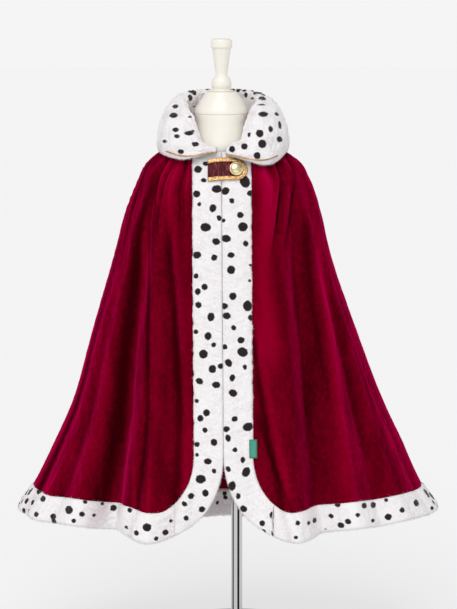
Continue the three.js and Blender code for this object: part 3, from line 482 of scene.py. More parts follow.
def place_on_front(across, up):
    """Turn and level of a place given across from the middle and up from the hem."""
    across, up = np.broadcast_arrays(np.asarray(across, float), np.asarray(up, float))
    turn = np.zeros_like(across)
    for _ in range(6):
        level = 1 - up / cloth_length(turn)
        turn = turn_across(across, level)
    return turn, level


def side_seam(level):
    """The side seam's turn, which moves forward down the cloth with the cube of what is left."""
    return np.radians(SIDE_SEAM_HEM + (SIDE_SEAM_NECK - SIDE_SEAM_HEM) * (1 - level) ** 3)


def line_up(across, width):
    """Height above the hem of a line a width inside the edge: straight, then a quarter ellipse."""
    away = np.clip((CORNER_ACROSS - across) / (CORNER_ACROSS - width), 0, 1)
    return CORNER_UP - (CORNER_UP - width) * np.sqrt(1 - away * away)


def level_of_line(turn_of_level, width):
    """The level where each column of cloth meets that line, found by halving the error."""
    level = 0.9
    for _ in range(30):
        turn = turn_of_level(level)
        across = np.where(np.cos(turn) > 0, np.abs(np.sin(turn)) * ring("half", level), CORNER_ACROSS)
        level = (level + 1 - line_up(across, width) / cloth_length(turn)) / 2
    return level


def half_gap_turn(turn, level):
    """Half the seam's gap as a turn: its length over the cloth's speed round the ring."""
    step = 0.001
    moved = rest_point(turn + step, level) - rest_point(turn - step, level)
    speed = np.linalg.norm(moved, axis=-1) / (2 * step)
    return SEAM_GAP / 2 / speed


def front_panel_turn(side, share, level):
    """A front panel's turn at a share from the trim to the side seam, closer near the trim."""
    trim = turn_across(trim_width() + TRIM_GAP, level)
    seam = side_seam(level) - half_gap_turn(side * side_seam(level), level)
    return side * (trim + (seam - trim) * share ** 1.5)


def right_panel_turn(share, level):
    """The right front's turn at a share from the trim to the side seam."""
    return front_panel_turn(1, share, level)


def left_panel_turn(share, level):
    """The left front's turn at a share from the side seam to the trim."""
    return front_panel_turn(-1, 1 - share, level)


def back_panel_turn(share, level):
    """The back panel's turn at a share from one side seam to the other."""
    start = side_seam(level) + half_gap_turn(side_seam(level), level)
    return start + (TURN - 2 * start) * share


def trim_width():
    """The plush band's width in millimetres."""
    return bpy.context.scene.cape_sizes.trim_width / MM


def plush_bulge(share):
    """Half thickness of a plush band across it: full in the middle, rounded off at both edges."""
    return 0.22 + 0.78 * (1 - np.abs(2 * share - 1) ** 5) ** 0.6


def grid_quads(rows, columns, start, flip):
    """The quads of a grid of points, rows by columns."""
    corner = start + np.arange(rows - 1)[:, None] * columns + np.arange(columns - 1)[None, :]
    quads = np.stack([corner, corner + columns, corner + columns + 1, corner + 1], -1)
    return quads.reshape(-1, 4)[:, ::-1] if flip else quads.reshape(-1, 4)


def ring_quads(rows, sides):
    """The quads between rings of points, each ring closed on itself."""
    around = np.arange(sides)
    onward = (around + 1) % sides
    low = np.arange(rows - 1)[:, None] * sides
    quads = np.stack([low + around, low + onward, low + sides + onward, low + sides + around], -1)
    return quads.reshape(-1, 4)


def fans(count, sides):
    """The triangles that close the first and last rings on the two points after all the rings."""
    around = np.arange(sides)
    onward = (around + 1) % sides
    last = count - sides
    first_fan = np.stack([np.full(sides, count), onward, around], -1)
    last_fan = np.stack([np.full(sides, count + 1), last + around, last + onward], -1)
    return first_fan, last_fan


def edge_quads(outer, inner, flip):
    """The quads between two rows of point numbers."""
    quads = np.stack([outer[:-1], outer[1:], inner[1:], inner[:-1]], -1)
    return quads[:, ::-1] if flip else quads


def make_object(name, points, quads, attributes=None, others=()):
    """A smooth mesh object at the origin from points in millimetres and faces."""
    mesh = bpy.data.meshes.new(name)
    faces = [quads, *others]
    corners = np.concatenate([f.ravel() for f in faces]).astype(np.int32)
    sizes = np.concatenate([np.full(len(f), f.shape[1]) for f in faces])
    mesh.vertices.add(len(points))
    mesh.vertices.foreach_set("co", (points * MM).astype(np.float32).ravel())
    mesh.loops.add(len(corners))
    mesh.loops.foreach_set("vertex_index", corners)
    mesh.polygons.add(len(sizes))
    mesh.polygons.foreach_set("loop_start", (np.cumsum(sizes) - sizes).astype(np.int32))
    mesh.polygons.foreach_set("use_smooth", np.ones(len(sizes), bool))
    mesh.update(calc_edges=True)
    for key, values in (attributes or {}).items():
        layer = mesh.attributes.new(key, "FLOAT", "POINT")
        layer.data.foreach_set("value", values.astype(np.float32).ravel())
    if mesh.validate():
        raise RuntimeError(f"{name} has faces that Blender had to mend")
    made = bpy.data.objects.new(name, mesh)
    bpy.context.scene.collection.objects.link(made)
    return made


def wall(name, outer, inner, outer_values=None, inner_values=None):
    """A closed wall from its outer and inner grids, with a strip of quads along each edge. The
    values are attributes of the outer and inner points."""
    rows, columns = outer.shape[:2]
    count = rows * columns
    numbers = np.arange(count).reshape(rows, columns)
    quads = np.concatenate([
        grid_quads(rows, columns, 0, False),
        grid_quads(rows, columns, count, True),
        edge_quads(numbers[0], numbers[0] + count, False),
        edge_quads(numbers[-1], numbers[-1] + count, True),
        edge_quads(numbers[:, 0], numbers[:, 0] + count, True),
        edge_quads(numbers[:, -1], numbers[:, -1] + count, False),
    ])
    points = np.concatenate([outer.reshape(-1, 3), inner.reshape(-1, 3)])
    attributes = {
        key: np.concatenate([value.ravel(), inner_values[key].ravel()])
        for key, value in (outer_values or {}).items()
    }
    return make_object(name, points, quads, attributes)


def tube(name, path, across, up, radius, sides):
    """A closed tube along a path, from two directions across it and a radius at each point and
    side, with a fan at both ends."""
    angle = TURN * np.arange(sides) / sides
    circle = across[:, None] * np.cos(angle)[:, None] + up[:, None] * np.sin(angle)[:, None]
    points = path[:, None] + circle * radius[..., None]
    everything = np.concatenate([points.reshape(-1, 3), path[:1], path[-1:]])
    return make_object(name, everything, ring_quads(len(path), sides), None, fans(len(path) * sides, sides))


def fringe(name, borders, length, apart, seed):
    """Short hairs along the borders of plush: each is a thin closed spike with three sides. A
    border is a row of points, the row inside it and the spots' field along it."""
    chance = np.random.default_rng(seed)
    points, values = [], []
    for edge, within, spot in borders:
        run = run_along(edge)
        at = chance.uniform(0, run[-1], int(run[-1] / apart))
        root, back = (
            np.stack([np.interp(at, run, line[:, k]) for k in range(3)], -1) for line in (edge, within)
        )
        out = root - back
        out /= np.linalg.norm(out, axis=1, keepdims=True) + 1e-9
        lean = chance.normal(0, 0.45, (len(at), 3))
        tip = root + (out + lean) * (length * chance.uniform(0.5, 1.1, (len(at), 1)))
        side = np.cross(out, lean)
        side *= 0.4 / (np.linalg.norm(side, axis=1, keepdims=True) + 1e-9)
        up = np.cross(out, side)
        root = root - out * 0.8
        corners = [root + side, root - side * 0.5 + up, root - side * 0.5 - up, tip]
        points.append(np.stack(corners, 1).reshape(-1, 3))
        values.append(np.repeat(np.interp(at, run, spot), 4))
    points = np.concatenate(points)
    first = np.arange(0, len(points), 4)[:, None]
    faces = np.concatenate([first + np.array(face) for face in ((0, 1, 3), (1, 2, 3), (2, 0, 3), (0, 2, 1))])
    return make_object(name, points, faces, {"spot": np.concatenate(values)})


def turned(name, profile, x, z, sides=96, fine=5):
    """A turned piece: its profile, refined on a smooth curve, carried round the upright axis."""
    profile = np.array(profile, float)
    run = run_along(profile)
    rows = {"at": run, "r": profile[:, 0], "z": profile[:, 1]}
    parts = [np.linspace(a, b, fine, endpoint=False) for a, b in zip(run[:-1], run[1:])]
    at = np.concatenate([*parts, run[-1:]])
    radius, height = read(rows, "at", "r", at), read(rows, "at", "z", at)
    angle = TURN * np.arange(sides) / sides
    across, upright = radius[:, None] * np.cos(angle), np.broadcast_to(z + height[:, None], (len(at), sides))
    return revolved(name, np.stack([x + across, radius[:, None] * np.sin(angle), upright], -1))


def revolved(name, points):
    """A closed body from rings of points that rise from its bottom to its top."""
    rows, sides = points.shape[:2]
    everything = np.concatenate([points.reshape(-1, 3), points[:1].mean(1), points[-1:].mean(1)])
    return make_object(name, everything, ring_quads(rows, sides), None, fans(rows * sides, sides))


def spot_field(points, centres, down, sideways, wide, high, deep=None):
    """Distance in millimetres from each point to the nearest spot's rim, less than 0 inside: each
    spot is an oval in the plane of its own two directions, and ends a depth away from it."""
    flat = points.reshape(-1, 3)
    best = np.full(len(flat), FAR_FROM_SPOTS)
    deep = np.full(len(centres), SPOT_DEPTH) if deep is None else deep
    for centre, v, u, w, h, d in zip(centres, down, sideways, wide, high, deep):
        near = np.flatnonzero(((flat - centre) ** 2).sum(1) < SPOT_REACH ** 2)
        away = flat[near] - centre
        along_u, along_v = away @ u, away @ v
        through = away @ np.cross(u, v)
        reach = np.sqrt((along_u / w) ** 2 + (along_v / h) ** 2 + (through / d) ** 2)
        best[near] = np.minimum(best[near], (reach - 1) * min(w, h))
    return best.reshape(points.shape[:-1])


def spots_seen(surface, points, u, v, wide, high):
    """The spot field of spots that are as wide and high as they look from the front."""
    axes = [np.tile(axis, (len(u), 1)) for axis in ((0.0, 0.0, 1.0), (1.0, 0.0, 0.0))]
    return spot_field(points, surface(u, v), *axes, wide / 2, high / 2, wide * 0.9)


def spots_on(surface, points, u, v, size, steps, tilt_seed):
    """The spot field of spots at places of a surface, each a little turned and stretched by
    chance. The steps, one for each parameter, give the surface's own directions."""
    step_u, step_v = steps
    centres = surface(u, v)
    sideways = unit(surface(u + step_u, v) - surface(u - step_u, v))
    down = surface(u, v + step_v) - surface(u, v - step_v)
    down = unit(down - (down * sideways).sum(-1, keepdims=True) * sideways)
    chance = np.random.default_rng(tilt_seed)
    tilt = chance.uniform(-0.5, 0.5, len(centres))[:, None]
    stretch = chance.uniform(0.86, 1.14, len(centres))
    turned_u = sideways * np.cos(tilt) + down * np.sin(tilt)
    turned_v = down * np.cos(tilt) - sideways * np.sin(tilt)
    return spot_field(points, centres, turned_v, turned_u, size / 2 * stretch, size / 2 / stretch)


def scattered(width, length, apart, seed):
    """Places for spots on hidden cloth, by chance but never nearer than a distance, with sizes
    like those that show."""
    chance = np.random.default_rng(seed)
    kept = np.empty((0, 3))
    for x, y, size in chance.uniform(0, 1, (int(width * length / 60), 3)):
        place = np.array([x * width, y * length, 8 + 11 * size ** 1.5])
        if not len(kept) or (np.hypot(*(kept[:, :2] - place[:2]).T) > apart + place[2] / 3).all():
            kept = np.vstack([kept, place])
    return kept.T


def turns_along(first, last, seed):
    """Places for spots on a stretch of the hem band that doesn't show: its turns, heights and
    sizes, spread evenly over the cloth's own length."""
    turns = np.radians(np.linspace(first, last, 400))
    run = run_along(rest_point(turns, HEM_BAND_LEVEL))
    along, up, size = scattered(run[-1], trim_width(), 15, seed)
    return np.interp(along, run, turns), up, size


class Value:
    """A shader socket in an expression: each operator adds a Math node."""

    def __init__(self, finish, socket):
        self.finish, self.socket = finish, socket

    def math(self, operation, first, second):
        """A Math node on two values or numbers."""
        return self.finish.node("Math", {"operation": operation}, {0: first, 1: second})

    def __add__(self, other):
        return self.math("ADD", self, other)

    def __sub__(self, other):
        return self.math("SUBTRACT", self, other)

    def __rsub__(self, other):
        return self.math("SUBTRACT", other, self)

    def __mul__(self, other):
        return self.math("MULTIPLY", self, other)

    __radd__ = __add__


class Finish:
    """A procedural material whose nodes are added one call at a time."""

    def __init__(self, name):
        self.material = bpy.data.materials.new(name)
        self.material.use_nodes = True
        self.tree = self.material.node_tree
        self.tree.nodes.clear()

    def node(self, kind, settings=None, sockets=None, output=0):
        """A node with its settings, then its sockets' values or links."""
        made = self.tree.nodes.new("ShaderNode" + kind)
        for key, value in (settings or {}).items():
            setattr(made, key, value)
        for key, value in (sockets or {}).items():
            if isinstance(value, Value):
                self.tree.links.new(value.socket, made.inputs[key])
            else:
                made.inputs[key].default_value = value
        return Value(self, made.outputs[output]) if len(made.outputs) else None

    def place(self, scale=(1, 1, 1)):
        """Object coordinates, stretched."""
        where = self.node("TexCoord", output="Object")
        return self.node("Mapping", {}, {"Vector": where, "Scale": scale})

    def part(self, name):
        """One number of the object coordinates: X, Y or Z."""
        return self.node("SeparateXYZ", {}, {"Vector": self.place()}, output=name)

    def attribute(self, name):
        """A number that the mesh holds at each point."""
        return self.node("Attribute", {"attribute_name": name}, output="Fac")

    def noise(self, place, scale, detail=2.0, roughness=0.5):
        """Soft cloudy noise."""
        return self.node("TexNoise", {}, {
            "Vector": place, "Scale": scale, "Detail": detail, "Roughness": roughness})

    def step(self, value, low, high):
        """A soft step from 0 at low to 1 at high."""
        return self.node("MapRange", {"interpolation_type": "SMOOTHSTEP"}, {
            "Value": value, "From Min": low, "From Max": high})

    def blend(self, share, first, second):
        """A colour between two."""
        sides = {0: share, 6: first, 7: second}
        sides = {k: (*v, 1) if isinstance(v, tuple) else v for k, v in sides.items()}
        return self.node("Mix", {"data_type": "RGBA"}, sides, output=2)

    def bump(self, height, distance, strength=1.0):
        """The surface's direction, bent by a height."""
        return self.node("Bump", {}, {"Height": height, "Distance": distance, "Strength": strength})

    def done(self, sockets):
        """The finished material, from a Principled shader's sockets."""
        shader = self.node("BsdfPrincipled", {}, sockets)
        self.node("OutputMaterial", {}, {"Surface": shader})
        return self.material


def rgb(context, name, times=1.0, plus=0.0):
    """One of the colours, made darker or lighter."""
    return tuple(min(c * times + plus, 1) for c in getattr(context.scene.cape_colours, name))


def velvet_finish(context):
    """Crimson pile velvet: deep where it is seen straight on, magenta where its pile slants away, with soft
    streaks and patches where it is crushed, and painted shade and painted highlight from the mesh's
    attribute: darker in the creases' troughs, lighter and more magenta on their ridges."""
    f = Finish("crimson velvet")
    streaks = f.noise(f.place((1, 1, 0.2)), 30, 3)
    crush = f.noise(f.place((1, 1, 0.6)), 150, 4, 0.7)
    pile = f.noise(f.place(), 900, 2)
    lie_and_painted_shade = f.attribute("nap")
    patch = f.step(streaks * 0.45 + crush * 0.55, 0.34, 0.66)
    # Painted shade and highlight: the attribute darkens the creases' troughs here and, below, tips their
    # ridges towards the sheen shader.
    share = f.step(patch * 0.3 + lie_and_painted_shade * 0.5 + 0.32, 0.0, 1.0)
    normal = f.bump(crush * 0.8 + pile * 0.12, 0.0014, 0.6)
    deep = f.node("BsdfPrincipled", {}, {
        "Base Color": f.blend(share, rgb(context, "velvet_deep"), rgb(context, "velvet")),
        "Roughness": 0.8,
        "Specular IOR Level": 0.0,
        "Normal": normal,
    })
    bright = f.node("BsdfPrincipled", {}, {
        "Base Color": f.blend(share, rgb(context, "velvet_sheen", 0.4), rgb(context, "velvet_sheen")),
        "Roughness": 0.7,
        "Specular IOR Level": 0.0,
        "Sheen Weight": 0.3,
        "Sheen Roughness": 0.3,
        "Sheen Tint": (1.0, 0.02, 0.2, 1),
        "Normal": normal,
    })
    slant = f.node("LayerWeight", {}, {"Blend": 0.5, "Normal": normal}, output="Facing")
    factor = f.step(slant * 0.93 + lie_and_painted_shade * 0.18 + patch * 0.1 - 0.04, 0.05, 1.0)
    shader = f.node("MixShader", {}, {0: factor, 1: deep, 2: bright})
    f.node("OutputMaterial", {}, {"Surface": shader})
    return f.material


def plush_finish(context):
    """Short white plush with black spots from the mesh's own field, ragged by the pile, with painted shade
    from the mesh's attribute in the hem's creases, on the linings and deep in the collar.
    """
    f = Finish("spotted plush")
    tufts = f.noise(f.place(), 240, 3, 0.6)
    pile = f.noise(f.place(), 800, 2)
    rim = f.attribute("spot")
    ragged = rim + (tufts - 0.5) * 3.2 + (pile - 0.5) * 2.0
    inside = 1 - f.step(ragged, -0.7, 1.2)
    lie_and_painted_shade = f.attribute("nap")
    # Painted shade: the attribute pulls the plush towards its parted colour.
    lit = f.step(tufts * 0.5 + pile * 0.25 + lie_and_painted_shade * 0.24 + 0.19, 0.25, 0.65)
    white = f.blend(lit, rgb(context, "plush_shade"), rgb(context, "plush"))
    return f.done({
        "Base Color": f.blend(inside, white, rgb(context, "spot")),
        "Roughness": 0.92,
        "Specular IOR Level": 0.15,
        "Sheen Weight": 0.25,
        "Sheen Roughness": 0.5,
        "Normal": f.bump(tufts * 0.8 + pile * 0.35, 0.0016, 0.55),
    })


def gold_finish(context, name, ribs):
    """Gold lurex thread: fine ribs along the piece, and a colour that shifts a little."""
    f = Finish(name)
    threads = f.noise(f.place(), ribs, 3, 0.6)
    return f.done({
        "Base Color": f.blend(f.step(threads, 0.38, 0.6), rgb(context, "gold", 0.3), rgb(context, "gold")),
        "Metallic": 0.85,
        "Roughness": 0.42 - threads * 0.2,
        "Normal": f.bump(threads, 0.0006, 0.7),
    })


def satin_finish(context):
    """Burgundy satin: a fine weave, with long soft painted highlights in its colour."""
    f = Finish("burgundy satin")
    weave = f.node("TexWave", {"bands_direction": "X"}, {
        "Vector": f.place(), "Scale": 700.0, "Distortion": 1.0, "Detail": 1.0})
    cloud = f.noise(f.place((1, 1, 0.16)), 210, 2)
    painted_highlight = f.step(cloud, 0.52, 0.74)
    return f.done({
        "Base Color": f.blend(painted_highlight, rgb(context, "satin"), rgb(context, "satin", 3.2, 0.03)),
        "Roughness": 0.34 + cloud * 0.2,
        "Specular IOR Level": 0.15,
        "Normal": f.bump(weave, 0.0002, 0.25),
    })


def button_finish(context):
    """Pale gold shell: clouded, glossy, a little metallic."""
    f = Finish("pearl gold")
    cloud = f.noise(f.place(), 130, 3)
    return f.done({
        "Base Color": f.blend(f.step(cloud, 0.35, 0.65), rgb(context, "pearl", 0.6), rgb(context, "pearl")),
        "Metallic": 0.8,
        "Roughness": 0.16 + cloud * 0.12,
        "Coat Weight": 0.6,
        "Coat Roughness": 0.08,
    })


def label_finish(context):
    """Teal woven tape, bare, with painted shade: darker towards its rim, where its edges round away."""
    f = Finish("teal tape")
    warp = f.node("TexWave", {"bands_direction": "X"}, {"Vector": f.place(), "Scale": 420.0})
    weft = f.node("TexWave", {"bands_direction": "Z"}, {"Vector": f.place(), "Scale": 420.0})
    rim = f.attribute("rim")
    # Painted shade: the field is darker near the rim and lighter in the middle.
    field = f.blend(f.step(rim, 0.8, 3.0), rgb(context, "teal", 0.7), rgb(context, "teal", 1.2, 0.04))
    return f.done({
        "Base Color": f.blend(warp * weft * 0.5, field, rgb(context, "teal", 1.5, 0.05)),
        "Roughness": 0.7,
        "Normal": f.bump(warp * weft, 0.0003, 0.5),
    })


def form_finish(context):
    """Cream gloss over a moulded shell, faintly uneven, with painted shade: darker in a band at the neck's
    foot, where the collar's ends meet."""
    f = Finish("cream gloss")
    cloud = f.noise(f.place(), 9, 3)
    fine = f.noise(f.place(), 260, 2)
    height = f.part("Z")
    # Painted shade: the band from 0.9 to 0.99 m up is darkened, where the collar shades the neck.
    painted_throat_shade = f.step(height, 0.9, 0.94) * (1 - f.step(height, 0.952, 0.99))
    share = f.step(cloud * 0.1 + 0.9 - painted_throat_shade * 0.75, 0.0, 1.0)
    return f.done({
        "Base Color": f.blend(share, rgb(context, "cream", 0.35), rgb(context, "cream")),
        "Roughness": 0.3 + fine * 0.1,
        "Coat Weight": 0.25,
        "Coat Roughness": 0.15,
        "Normal": f.bump(fine, 0.0002, 0.2),
    })


def plate_finish(context):
    """Satin metal of the base, a little clouded."""
    f = Finish("satin plate")
    cloud = f.noise(f.place(), 30, 3)
    return f.done({
        "Base Color": f.blend(cloud, rgb(context, "metal", 0.8), rgb(context, "metal")),
        "Metallic": 1.0,
        "Roughness": 0.36 + cloud * 0.14,
    })


def tube_finish(context):
    """Polished tube with painted reflections: long black and light streaks in its colour, by the angle round
    its axis, uneven round it.
    """
    f = Finish("polished tube")
    turn = f.node("Math", {"operation": "ARCTAN2"}, {0: f.part("X"), 1: f.part("Y") * -1.0})
    wave = f.node("Math", {"operation": "SINE"}, {0: turn * 6.0 - 0.42})
    slow = f.node("Math", {"operation": "SINE"}, {0: turn * 2.0 + 1.3})
    painted_reflection = f.step(wave + slow * 0.3, 0.45, 0.75)
    return f.done({
        # Painted reflection: near black where the streaks fall.
        "Base Color": f.blend(painted_reflection, rgb(context, "metal"), (0.02, 0.018, 0.018)),
        "Metallic": 1.0,
        "Roughness": 0.16,
    })


def floor_finish(context):
    """Plain pale floor with the faintest clouding."""
    f = Finish("pale floor")
    cloud = f.noise(f.place(), 0.8, 2)
    return f.done({
        "Base Color": f.blend(cloud, rgb(context, "floor", 0.995), rgb(context, "floor")),
        "Roughness": 0.95,
        "Specular IOR Level": 0.0,
        "Emission Color": (1, 1, 1, 1),
        "Emission Strength": 0.65,
    })


def dress(piece, material, slot, *nodes):
    """Gives a piece its finish and body, and hides the nodes that it stands for; the slot is not used."""
    piece.data.materials.append(material)
    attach(piece, "root")
    if nodes:
        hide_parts(*nodes)
    return piece


def velvet_panel(name, columns, rows, turn_of_column, gathers, context):
    """A velvet panel: columns of cloth from the neckline to the trim's line, gathered at the top,
    each point moved half a wall to both sides."""
    share = np.linspace(0, 1, columns)
    width = trim_width() + TRIM_GAP
    bottom = level_of_line(lambda level: turn_of_column(share, level), width)
    level = np.linspace(0, 1, rows)[:, None] ** 1.1 * bottom
    turn = turn_of_column(share[None, :], level)
    raised = read(GATHER_FADE, "level", "raise", level) * (0.5 - 0.5 * np.cos(TURN * share * gathers))
    arc = turn * ring("half", level)
    rumple = ripple(arc, level * SIDE_LENGTH * 0.25, (34, 17), 5) * 0.45
    half = context.scene.cape_sizes.velvet_wall / MM / 2
    # The attribute carries painted shade and painted highlight of the creases; on the inner face it is
    # turned over and weakened.
    tone = {"nap": nap(turn, level)}
    outer, inner = (cape_beside(turn, level, raised + rumple + out) for out in (half, -half))
    return wall(name, outer, inner, tone, {"nap": tone["nap"] * -0.3})


class CAPE_OT_velvet(bpy.types.Operator):
    """Builds the velvet back and the two velvet fronts"""
    bl_idname = "cape.velvet"
    bl_label = "Velvet panels"

    def execute(self, context):
        finish = velvet_finish(context)
        right = velvet_panel("velvet_front_right", 130, 210, right_panel_turn, 5, context)
        left = velvet_panel("velvet_front_left", 130, 210, left_panel_turn, 5, context)
        back = velvet_panel("velvet_back", 230, 190, back_panel_turn, 14, context)
        dress(right, finish, "velvet", "cape_front_right")
        dress(left, finish, "velvet", "cape_front_left")
        dress(back, finish, "velvet", "cape_back")
        return {"FINISHED"}


def plush_sides(turn, level, share, fade, context, seed):
    """Outer and inner points of a plush band, with soft lumps on both faces."""
    sizes = context.scene.cape_sizes
    half = plush_bulge(share) * fade * sizes.plush_wall / MM / 2
    round_it, down_it = turn * ring("half", level), level * SIDE_LENGTH
    lump = sizes.lump / MM
    bumps = [lump * ripple(round_it, down_it, (26, 12, 7), seed + face) * half / 4 for face in (0, 1)]
    return cape_beside(turn, level, half + bumps[0]), cape_beside(turn, level, -half - bumps[1])


def plush_face(turn, level):
    """A plush band's outer face without its lumps, where its spots lie."""
    return cape_beside(turn, level, np.full(np.shape(turn), PLUSH_HALF))


def plush_lining(turn, level):
    """A plush band's inner face without its lumps, where its spots lie."""
    return cape_beside(turn, level, np.full(np.shape(turn), -PLUSH_HALF))


def front_trim(side, context):
    """A front band: straight down the front edge, then round the lower corner to its seam."""
    columns, straight_rows, corner_rows = 26, 250, 70
    share = np.linspace(0, 1, columns)[None, :]
    width = trim_width()
    bottom = level_of_line(lambda level: front_panel_turn(1, 0, level), width + TRIM_GAP)
    level = np.repeat(np.linspace(0, 1, straight_rows)[:, None] * bottom, columns, axis=1)
    wander = 0.8 * ripple(level * SIDE_LENGTH, 0, (40, 17), 11 + side)
    across = mix(FRONT_GAP / 2, width, share) + wander * share ** 6
    turn = turn_across(across, level)
    fade = ease(level, -0.012, 0.045)
    bend_share = np.linspace(0, 1, corner_rows + 1)[1:, None]
    bend = mix(CORNER_EDGE_END, CORNER_SEAM_END, share) * bend_share
    inset = mix(FRONT_GAP / 2, width, share)
    corner_across = CORNER_ACROSS - (CORNER_ACROSS - inset) * np.cos(bend)
    drop = (CORNER_UP - share * width) * np.sin(bend)
    corner_turn, corner_level = place_on_front(corner_across, CORNER_UP - drop)
    turn = np.concatenate([turn, corner_turn])
    level = np.concatenate([level, corner_level])
    fade = np.concatenate([fade, np.ones_like(corner_level)])
    share = np.broadcast_to(share, level.shape)
    if side < 0:
        turn, level, fade, share = -turn[:, ::-1], level[:, ::-1], fade[:, ::-1], share[:, ::-1]
    outer, inner = plush_sides(turn, level, share, fade, context, 21 + side)
    rows = SPOTS_RIGHT if side > 0 else SPOTS_LEFT
    spot_turn, spot_level = place_on_front(rows["across"], rows["up"])
    seen = spots_on(plush_face, outer, spot_turn, spot_level, rows["size"], BAND_STEPS, 31 + side)
    x, y, size = scattered(width, FRONT_LENGTH, 17, 41 + side)
    hidden_turn, hidden_level = place_on_front(side * x, y)
    hidden = spots_on(plush_lining, inner, hidden_turn, hidden_level, size, BAND_STEPS, 51 + side)
    which = "right" if side > 0 else "left"
    middle = (outer + inner) / 2
    borders = [(middle[:, k], middle[:, j], seen[:, k]) for k, j in ((0, 1), (-1, -2))]
    hairs = fringe("plush_fringe_" + which, borders, HAIR_LENGTH, HAIR_APART, 35 + side)
    tone = 0.15 * ripple(turn * ring("half", level), level * SIDE_LENGTH, (60, 25), 37 + side)
    # Random tone on the outer face; painted shade on the lining, which is darker all over.
    values = {"spot": seen, "nap": tone}, {"spot": hidden, "nap": np.full_like(tone, -0.5)}
    return wall("plush_front_" + which, outer, inner, *values), hairs


def hem_trim(context):
    """The hem band, from the right corner's seam round the back to the left corner's seam: its
    columns are turns that follow the seams, its rows are lines a share of its width up."""
    width = trim_width()
    start_low = CORNER_ACROSS - (CORNER_ACROSS - FRONT_GAP / 2) * math.cos(CORNER_EDGE_END) + SEAM_GAP
    start_high = CORNER_ACROSS - (CORNER_ACROSS - width) * math.cos(CORNER_SEAM_END) + SEAM_GAP
    front_columns, back_columns, rows = 150, 330, 19
    u = np.linspace(0, 1, front_columns, endpoint=False)
    outer_rows, levels, shares = [], [], []
    for share in np.linspace(1, 0, rows):
        start = mix(start_low, start_high, share)

        def turns(level):
            """The turns of the band's columns, each at its level."""
            level = np.broadcast_to(level, (2 * front_columns + back_columns,))
            seam, first = side_seam(level), turn_across(start, level)
            right = mix(first[:front_columns], seam[:front_columns], u)
            back = mix(seam[front_columns:-front_columns], TURN - seam[front_columns:-front_columns],
                       np.linspace(0, 1, back_columns))
            left = TURN - mix(first[-front_columns:], seam[-front_columns:], u)[::-1]
            return np.concatenate([right, back, left])

        level = level_of_line(turns, share * width)
        outer_rows.append(turns(level))
        levels.append(level)
        shares.append(np.full_like(level, share))
    turn, level, share = np.array(outer_rows), np.array(levels), np.array(shares)
    outer, inner = plush_sides(turn, level, share, 1.0, context, 61)
    back_turn, up, size = turns_along(82, 288, 63)
    back_level = 1 - up / cloth_length(back_turn)
    seen = spots_on(plush_face, outer, back_turn, back_level, size, BAND_STEPS, 65)
    chart_turn, chart_size = np.radians(SPOTS_HEM["turn"]), SPOTS_HEM["size"]
    chart_level = 1 - SPOTS_HEM["up"] / cloth_length(chart_turn)
    charted = spots_seen(plush_face, outer, chart_turn, chart_level, chart_size, chart_size * 0.9)
    seen = np.minimum(seen, charted)
    scatter = np.array(turns_along(15, 345, 67))
    scatter = scatter[:, np.abs(scatter[0] - math.pi) > math.radians(6)]
    chart = [np.radians(SPOTS_HEM_INSIDE["turn"]), SPOTS_HEM_INSIDE["up"], SPOTS_HEM_INSIDE["size"]]
    in_turn, in_up, in_size = np.concatenate([chart, scatter], axis=1)
    in_level = 1 - in_up / cloth_length(in_turn)
    hidden = spots_on(plush_lining, inner, in_turn, in_level, in_size, BAND_STEPS, 69)
    middle = (outer + inner) / 2
    borders = [(middle[k], middle[j], seen[k]) for k, j in ((0, 1), (-1, -2))]
    hairs = fringe("plush_fringe_hem", borders, HAIR_LENGTH, HAIR_APART, 70)
    # Painted shade and painted highlight of the velvet's creases carried onto the hem band, and painted
    # shade on its lining.
    tone = nap(turn, level)
    values = {"spot": seen, "nap": tone}, {"spot": hidden, "nap": np.full_like(tone, -0.5)}
    return wall("plush_hem", outer, inner, *values), hairs


class CAPE_OT_trims(bpy.types.Operator):
    """Builds the plush bands of the fronts and the hem"""
    bl_idname = "cape.trims"
    bl_label = "Plush bands"

    def execute(self, context):
        finish = plush_finish(context)
        bands = (
            (front_trim(1, context), "front_trim_right", (0.12, 0.8), 0.047),
            (front_trim(-1, context), "front_trim_left", (0.12, 0.8), 0.047),
            (hem_trim(context), "hem_trim", (2.07, 0.057), None),
        )
        for (band, hairs), node, flat, area in bands:
            dress(band, finish, "plush", node)
            dress(hairs, finish, "plush")
        return {"FINISHED"}


def collar_at(column, turn):
    """A column of the collar's table at a turn."""
    return read(COLLAR_TURNS, "turn", column, in_half_turn(turn))


def collar_point(turn, across):
    """The middle of the collar: a straight stand from the neckline, a quarter circle over the
    roll, then a fall on a quarter ellipse to its edge."""
    turn, across = np.broadcast_arrays(np.asarray(turn, float), np.clip(across, 0, 1))
    roll_r, roll_z, edge_r, edge_z = (collar_at(c, turn) for c in "roll_r roll_z edge_r edge_z".split())
    neck = rest_point(turn, np.zeros_like(turn))
    neck_r = np.hypot(neck[..., 0] - NECK_X, neck[..., 1])
    neck_z = neck[..., 2] + COLLAR_LIFT
    stand = across / STAND_PART
    over = (across - STAND_PART) / (ROLL_PART - STAND_PART) * math.pi / 2
    fall = (across - ROLL_PART) / (1 - ROLL_PART) * math.pi / 2
    parts = [across < STAND_PART, across < ROLL_PART]
    radius = np.select(parts, [
        mix(neck_r, roll_r - ROLL_RADIUS, stand), roll_r - ROLL_RADIUS * np.cos(over),
    ], roll_r + (edge_r - roll_r) * np.sin(fall))
    height = np.select(parts, [
        mix(neck_z, roll_z - ROLL_RADIUS, stand), roll_z - ROLL_RADIUS * (1 - np.sin(over)),
    ], edge_z + (roll_z - edge_z) * np.cos(fall))
    aside, ahead = (neck[..., 0] - NECK_X) / neck_r, -neck[..., 1] / neck_r
    return np.stack([NECK_X + radius * aside, -radius * ahead, height], -1)


